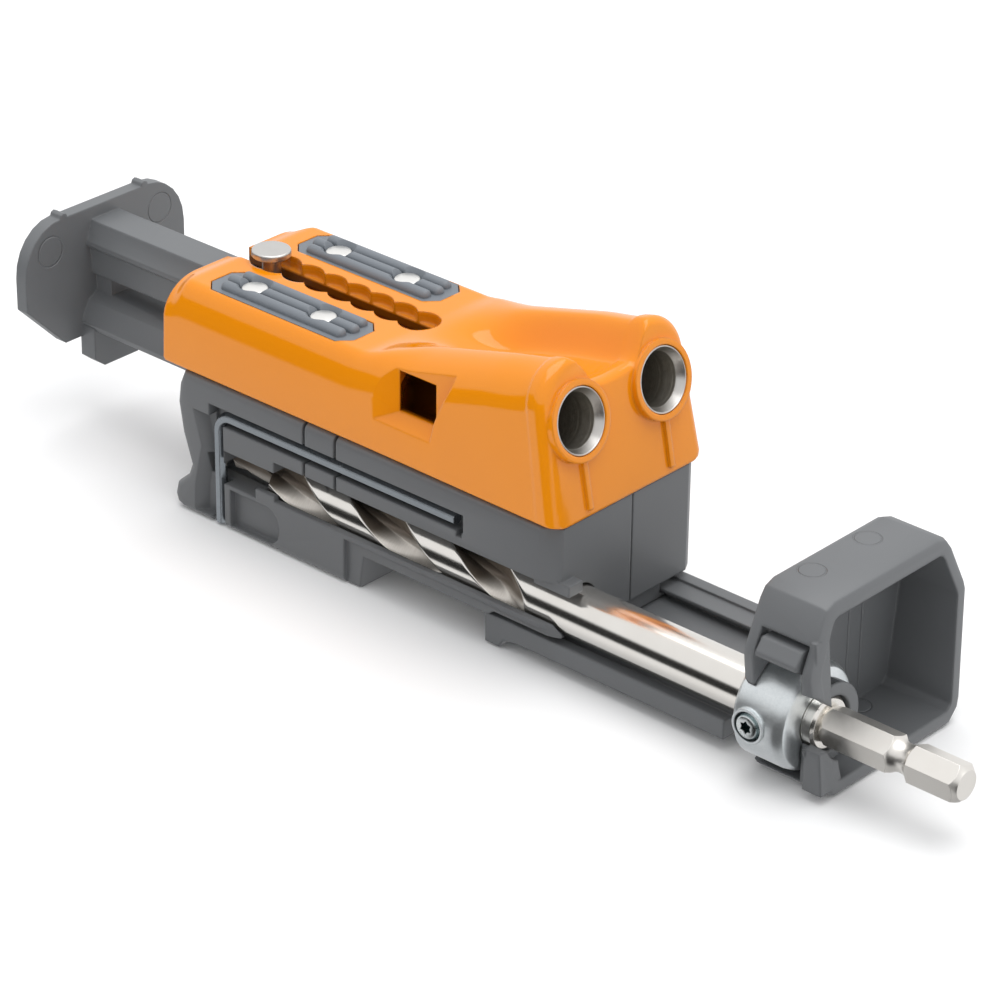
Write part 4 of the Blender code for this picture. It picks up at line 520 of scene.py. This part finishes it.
def moulded(name, dark, light, rough, grain, depth, radius, marks=()):
    """Moulded plastic or rubber: a spark-eroded grain over a slow drift of tone.

    Each mark is (axis, axis, centre, centre, radius): the thin round step that
    an ejector pin leaves, a groove where the distance from the centre is the radius.
    """
    stuff = Finish(name, IOR=1.62)
    fine = stuff.noise(grain, 3.0)
    drift = stuff.noise(22.0, 3.0)
    tone = stuff.colours(drift, dark, light)
    height = fine * depth
    places = stuff.axes()
    for first, second, across, up, size in marks:
        reach = (places[first] - across).length(places[second] - up)
        height = height + (reach - size).math("ABSOLUTE").between(0.03, 0.24) * 0.16
    return stuff.surface(Base_Color=tone, Roughness=rough + drift * 0.08,
                         Normal=stuff.bump(height, 1.0, radius))


RUBBER = moulded("pad_rubber", (0.150, 0.168, 0.190), (0.178, 0.196, 0.220), 0.46, 0.5, 0.010, 0.2)
PAD_GROW, PAD_FLOOR, PAD_TOP = 0.16, 15.2, 16.4
RIBS = ((8.2, 10.0, 40.2), (10.9, 8.9, 40.9), (13.6, 10.0, 40.2))
RIB_Z, RIB_RADIUS, RIB_CAP = 16.6, 1.15, 0.9
RIB_GAP = ((PAD_TOP, 2.6), (17.2, 2.9), (20, 5.2))
MAGNET_HOLE = ((10, 2.55), (20, 2.55))
arc = np.linspace(0, np.pi / 2, 7)
cap = np.stack((RIB_CAP * (1 - np.cos(arc)), RIB_RADIUS * np.sin(arc)), axis=-1)
for side, word in ((-1, "near"), (1, "far")):
    pad = prism("pad_" + word, pad_outline(side, PAD_GROW), PAD_FLOOR, PAD_TOP, "Z")
    ribs = []
    for middle, start, end in RIBS:
        tail = np.stack((end - start - cap[::-1, 0], cap[::-1, 1]), axis=-1)
        ribs.append(revolve("pad_rib", np.concatenate((cap, tail)),
                            (start, side * middle, RIB_Z), (1, 0, 0), 32))
    carve(pad, ribs, "UNION")
    gaps = []
    for x in MAGNETS:
        place = (x, side * MAGNET_Y, 0)
        gaps.append(revolve("rib_gap", RIB_GAP, place, (0, 0, 1), 48))
        gaps.append(revolve("magnet_hole", MAGNET_HOLE, place, (0, 0, 1), 48))
    carve(pad, gaps)
    dress(pad, RUBBER, "jig", "grey_rubber", "grip_pad_" + word)

# Magnets: nickel-plated discs pressed through the pads, their rims rolled.
PLATE = Finish("nickel_plating", Metallic=1.0)
scuff = PLATE.noise(1.4, 3.0)
PLATE.surface(Base_Color=PLATE.colours(scuff, (0.90, 0.885, 0.85), (0.95, 0.94, 0.91)),
              Roughness=0.28 + scuff * 0.10, Normal=PLATE.bump(scuff, 0.001, 0.3))
DISC = ((14.0, 0.0), (14.0, 2.4), (16.75, 2.4), (16.9, 2.33), (16.95, 2.15), (16.95, 0.0))
for side, word in ((-1, "near"), (1, "far")):
    for x, end in zip(MAGNETS, ("rear", "front")):
        label = "%s_%s" % (word, end)
        disc = revolve("disc_" + label, DISC, (x, side * MAGNET_Y, 0), (0, 0, 1), 64)
        dress(disc, PLATE.material, "jig", "nickel_plate", "magnet_" + label)

# Stop slide: glass-filled nylon, moulded in one piece; the bar runs in the
# casting, the plate stops the board, and the runner keys into the holder.
PLATE_PINS = ((1, 2, -14.0, 8.8, 3.0), (1, 2, 14.0, 8.8, 3.0))
NYLON = moulded("stop_nylon", (0.124, 0.130, 0.136), (0.148, 0.155, 0.162), 0.40, 0.35, 0.008,
                0.55, PLATE_PINS)
stop = from_node("stop_moulding", "stop_slide")
dress(stop, NYLON, "stop", "grey_plastic", "stop_slide")

# Lock pin: a turned steel button on a stem, with its ring and return spring.
BUTTON = [(18.9, 0.0), (18.9, 3.3)] + rolled(18.55, 3.3, 0.35)[::-1]
BUTTON += [(17.75, 3.65), (17.6, 3.5)]
STEM = [(16.9, 1.75), (4.9, 1.75), (4.9, 1.2), (3.7, 1.2), (3.7, 1.75), (3.4, 1.75), (3.2, 1.55)]
pin = revolve("lock_button", BUTTON + STEM + [(3.2, 0.0)], (PIN_X, 0, 0), (0, 0, 1), 96)
pin_steel = lathe_steel("pin_steel", 0.25, (PIN_X, 0, 0), (0, 0, 1), 0.2)
dress(pin, pin_steel, "lock", "turned_steel", "lock_pin")
WIRE = Finish("wire_steel", Metallic=1.0)
mottle = WIRE.noise(0.6, 2.0)
WIRE.surface(Base_Color=WIRE.colours(mottle, (0.22, 0.22, 0.23), (0.30, 0.30, 0.31)),
             Roughness=0.32 + mottle * 0.12)
for node, home in (("lock_clip", "lock"), ("lock_spring", "lock"),
                   ("holder_screw_rear", "holder"), ("holder_screw_front", "holder")):
    dress(from_node(node + "_steel", node), WIRE.material, home, "dark_steel", node)

# Bit holder: two halves of glass-filled nylon, screwed together from the far
# side; the near half clips round the drill and the key, with a low lip at the pilot.
HOLDER = moulded("holder_nylon", (0.116, 0.120, 0.125), (0.140, 0.145, 0.150), 0.42, 0.35, 0.008,
                 0.55)
PILOT_MOUTH = ((9.6, -26.0, -19.9), (22.9, -13.0, -15.6))
near_half = from_node("holder_shell_near", "bit_holder_near")
far_half = from_node("holder_shell_far", "bit_holder_far")
carve(near_half, [block("pilot_mouth", *PILOT_MOUTH)])
dress(near_half, HOLDER, "holder", "grey_plastic", "bit_holder_near")
dress(far_half, HOLDER, "holder", "grey_plastic", "bit_holder_far")

# Gauge slide: a trough on the holder's keel, moulded with the collar's housing.
HOUSING_PINS = ((0, 1, 141.0, -8.6, 2.35), (0, 1, 141.0, 6.3, 2.35))
GAUGE = moulded("gauge_nylon", (0.112, 0.117, 0.122), (0.136, 0.142, 0.148), 0.42, 0.35, 0.008,
                0.7, HOUSING_PINS)
gauge = from_node("gauge_moulding", "gauge_slide")
dress(gauge, GAUGE, "gauge", "grey_plastic", "gauge_slide")

# Step drill: high-speed steel, ground bright; two flutes at a 50 mm lead run
# out into a plain shank, and a hex with a groove fits the driver.
BIT = (10.8, -13.0, -17.7)
PILOT_TIP, PILOT_END, BODY_START = 1.2, 11.9, 14.0
FLUTE_END, FLUTE_RUNOUT, SHANK_END = 77.0, 67.0, 137.2
PILOT_RADIUS, BODY_RADIUS, TIP_RADIUS = 2.0, 4.75, 0.05
CORE = 0.36
HALF_LEAD = 25.0
PHASE = math.radians(20)


def drill_skin():
    """Rings along the drill: radius(distance) times a two-fluted section.

    The section's reach falls from 1 on a land to the core share in a flute by a
    smooth step on cos 2a, and turns by pi for each half lead.
    """
    stations = ((0, PILOT_TIP, 8), (PILOT_TIP, PILOT_END, 46), (PILOT_END, BODY_START, 12))
    runs = [np.linspace(*station)[:-1] for station in stations]
    d = np.concatenate(runs + [np.linspace(BODY_START, FLUTE_END, 300), (SHANK_END,)])
    radius = np.interp(d, (0, PILOT_TIP, PILOT_END, BODY_START, FLUTE_END),
                       (TIP_RADIUS, PILOT_RADIUS, PILOT_RADIUS, BODY_RADIUS, BODY_RADIUS))
    core = np.interp(d, (0, PILOT_TIP, FLUTE_RUNOUT), (1.0, CORE, CORE))
    core = blend(core, 1.0, ease((d - FLUTE_RUNOUT) / (FLUTE_END - FLUTE_RUNOUT)))[:, None]
    angle = np.linspace(0, 2 * np.pi, 144, endpoint=False)[None]
    hollow = ease((np.cos(2 * angle) + 0.25) / 0.9)
    reach = radius[:, None] * blend(1.0, core, hollow)
    turn = np.pi * np.minimum(d, FLUTE_END)[:, None] / HALF_LEAD + PHASE
    grid = np.stack((d[:, None] + angle * 0, reach * np.cos(angle + turn),
                     reach * np.sin(angle + turn)), axis=-1)
    return new_object("drill_cutting_end", grid_mesh("drill_cutting_end", grid + BIT))


def ground_steel():
    """Bright ground steel; the flutes are tan and cross-ground, with shade painted
    darker on them above the axis, and the hex is brushed.
    """
    steel = Finish("ground_steel")
    x, y, z = steel.axes()
    out_y = y - BIT[1]
    out_z = z - BIT[2]
    flute = out_y.length(out_z).between(4.70, 4.55) * x.between(92.0, 88.0)
    lines = steel.node("CombineXYZ", {}, {0: x * 6.0, 1: out_y * 0.8, 2: out_z * 0.8})
    marks = steel.noise(1000.0, 3.0, lines)
    cloud = steel.noise(5.0, 2.0)
    bright = steel.colours(cloud, (0.80, 0.765, 0.715), (0.87, 0.845, 0.80))
    tan = steel.colours(marks, (0.74, 0.68, 0.60), (0.97, 0.92, 0.85))
    # painted shade: the flutes above the drill's axis are darkened in the colour
    tan = steel.colours(out_z.between(-0.9, 0.9) * 0.92, tan, (0.10, 0.07, 0.045))
    hexagon = x.between(149.4, 149.8)
    rough = 0.15 + marks * 0.06 + flute * 0.22 + hexagon * (0.14 + marks * 0.1)
    return steel.surface(Base_Color=steel.colours(flute, bright, tan),
                         Metallic=1.0 - flute * 0.65, Roughness=rough,
                         Normal=steel.bump(marks, 0.002, 0.12))


GROUND = ground_steel()
dress(drill_skin(), GROUND, "drill", "bright_steel", "drill_bit")

FLANGE = ((136.6, 0), (136.6, 4.6), (136.9, 4.8), (138.3, 4.8), (138.8, 4.3), (138.8, 0))
HEX_FLATS, HEX_TURN = 6.35, 0.67
HEX_START, HEX_END = 137.5, 166.4
HEX_EDGE = 3.9
GROOVE, GROOVE_HALF, GROOVE_DEPTH = 154.4, 2.2, 1.35
flange = revolve("drill_flange", FLANGE, BIT, (1, 0, 0), 96)
corner = HEX_FLATS / math.sqrt(3)
around = (np.arange(6) + HEX_TURN) * np.pi / 3
outline = np.stack((BIT[1] + corner * np.cos(around), BIT[2] + corner * np.sin(around)), axis=-1)
shank = prism("hex_shank", outline, BIT[0] + HEX_START, BIT[0] + HEX_END, "X")
neck = [(GROOVE - GROOVE_HALF * math.cos(a), HEX_EDGE - GROOVE_DEPTH * math.sin(a))
        for a in np.linspace(0, np.pi, 17)]
turning = [(136.8, 0), (136.8, 2.8), (138.6, 2.9), (140.2, HEX_EDGE)] + neck
turning += [(165.0, HEX_EDGE), (166.0, 2.9), (HEX_END, 2.6), (HEX_END, 0)]
carve(shank, [revolve("hex_turning", turning, BIT, (1, 0, 0), 96)], "INTERSECT")
dress(flange, GROUND, "drill", "bright_steel")
dress(shank, GROUND, "drill", "bright_steel")

# Stop collar: a zinc-plated steel ring with a rounded front edge, held on the
# shank by a grub screw with a star socket in a raised boss.


def zinc(name, dark, light, rough):
    """Zinc plating: a cool, finely crystalline surface."""
    plating = Finish(name, Metallic=0.92)
    grain = plating.noise(0.5, 4.0, rough=0.75)
    cloud = plating.noise(4.0, 2.0)
    tone = plating.colours(grain * 0.6 + cloud * 0.4, dark, light)
    return plating.surface(Base_Color=tone, Roughness=rough + grain * 0.15,
                           Normal=plating.bump(grain, 0.010, 0.25))


ZINC = zinc("collar_zinc", (0.56, 0.61, 0.63), (0.97, 0.99, 0.99), 0.28)
collar = from_node("collar_ring", "stop_collar")
dress(collar, ZINC, "gauge", "zinc_plate", "stop_collar")
SCREW = (140.3, BIT[1], BIT[2])
THREAD_START, THREAD_END, PITCH = 5.1, 10.05, 0.7
THREAD_RADIUS, THREAD_DEPTH = 2.3, 0.12
STAR = (0.85, 1.25)
thread = [(4.95, 0.0), (4.95, 1.9)]
for d in np.linspace(THREAD_START, THREAD_END, 60):
    wave = math.cos(2 * np.pi * (d - THREAD_START) / PITCH)
    thread.append((d, THREAD_RADIUS - THREAD_DEPTH * wave))
thread += [(10.3, 2.0), (10.4, 1.8), (10.4, 0.0)]
grub = revolve("grub_thread", thread, SCREW, (0, -1, 0), 64)
star = [(SCREW[0] + STAR[i % 2] * math.cos(i * np.pi / 6),
         SCREW[2] + STAR[i % 2] * math.sin(i * np.pi / 6)) for i in range(12)]
carve(grub, [prism("star_socket", star, -23.9, -21.4, "Y")])
SOCKET = Finish("grub_steel", Metallic=1.0)
depth = SOCKET.axes()[1]
fleck = SOCKET.noise(0.5, 3.0)
tone = SOCKET.colours(fleck, (0.52, 0.56, 0.56), (0.78, 0.80, 0.80))
# painted shade: past the screw's outer face, the inside of the star socket is darkened in the
# colour
tone = SOCKET.colours(depth.between(-23.30, -23.15) * 0.75, tone, (0.10, 0.18, 0.19))
SOCKET.surface(Base_Color=tone, Roughness=0.22 + fleck * 0.12,
               Normal=SOCKET.bump(fleck, 0.004, 0.1))
dress(grub, SOCKET.material, "grub", "zinc_plate", "grub_screw")

# Hex key: a bent length of zinc-plated hexagonal wire, clipped in its slot.
KEY_STEEL = zinc("key_zinc", (0.19, 0.21, 0.23), (0.32, 0.345, 0.365), 0.16)
key = from_node("bent_key", "hex_key")
dress(key, KEY_STEEL, "key", "zinc_plate", "hex_key")

# Studio: a white table and one soft box overhead.
TABLE_HALF, TABLE_Z = 3.0, -0.0002
corners = [(x * TABLE_HALF, y * TABLE_HALF, 0) for x, y in ((-1, -1), (1, -1), (1, 1), (-1, 1))]
floor_mesh = bpy.data.meshes.new("table_top")
floor_mesh.from_pydata(corners, [], [(0, 1, 2, 3)])
floor = new_object("table_top", floor_mesh)
floor.location.z = TABLE_Z
table = Finish("table_white", Base_Color=(0.92, 0.92, 0.92, 1), Roughness=0.9)
floor_mesh.materials.append(table.material)
floor.visible_glossy = False
lamp = bpy.data.lights.new("overhead_box", "AREA")
lamp.shape = "RECTANGLE"
lamp.size, lamp.size_y = 0.9, 0.7
lamp.energy = 4.0
overhead = new_object("overhead_box", lamp)
overhead.location = (0.05, 0.10, 0.80)
overhead.rotation_euler = (-overhead.location).to_track_quat("-Z", "Y").to_euler()

# The room: a pale tent round the table, with one dark gap at the height of the
# table on the near side and one below it towards the front.
world = bpy.data.worlds.new("studio_tent")
bpy.context.scene.world = world
world.use_nodes = True


class Room(Finish):
    """The world's node tree, written with the same arithmetic."""

    def __init__(self, tree):
        self.tree = tree
        self.where = self.node("TexCoord", {}, {}, "Generated")


room = Room(world.node_tree)
look = room.node("SeparateXYZ", {}, {0: room.where}).socket.node
across, back, up = (Value(room, look.outputs[i]) for i in range(3))
gap = back.between(-0.35, -0.50) * up.between(-0.34, -0.26) * up.between(0.24, 0.16)
well = (back.between(-0.50, -0.58) * up.between(-0.08, -0.14)
        * across.between(-0.46, -0.36) * across.between(0.80, 0.70))
nadir = up.between(-0.45, -1.0)
level = (1.0 - gap.math("MAXIMUM", well)) * (0.92 - nadir * 0.45) + 0.02
air = room.node("Background", {}, {"Color": (0.985, 0.99, 1.0, 1), "Strength": level})
white = room.node("Background", {}, {"Color": (1, 1, 1, 1), "Strength": 1.0})
camera_ray = room.node("LightPath", {}, {}, "Is Camera Ray")
seen = room.node("MixShader", {}, {0: camera_ray, 1: air, 2: white})
room.feed(world.node_tree.nodes["World Output"].inputs["Surface"], seen)

# Camera: solved from points of the photograph, as a turn about the upright, a
# tilt down and a roll about the view's own axis.
EYE = (481.63, -466.48, 322.56)
TURN = math.radians(41.76)
TILT = math.radians(28.165)
ROLL = math.radians(0.707)
LENS, SENSOR, CLIP = 144, 36, 0.01
ahead = np.array((-math.sin(TURN) * math.cos(TILT), math.cos(TURN) * math.cos(TILT),
                  -math.sin(TILT)))
right = np.array((math.cos(TURN), math.sin(TURN), 0.0))
down = np.cross(ahead, right)
right, down = (math.cos(ROLL) * right - math.sin(ROLL) * down,
               math.sin(ROLL) * right + math.cos(ROLL) * down)
photo = bpy.data.cameras.new("photo_camera")
photo.lens = LENS
photo.sensor_width = SENSOR
photo.clip_start = CLIP
camera = new_object("photo_camera", photo)
columns = (right, -down, -ahead, placed(EYE))
camera.matrix_world = Matrix([[column[i] for column in columns] for i in range(3)] + [(0, 0, 0, 1)])
bpy.context.scene.camera = camera
bpy.context.scene.view_settings.view_transform = "Standard"
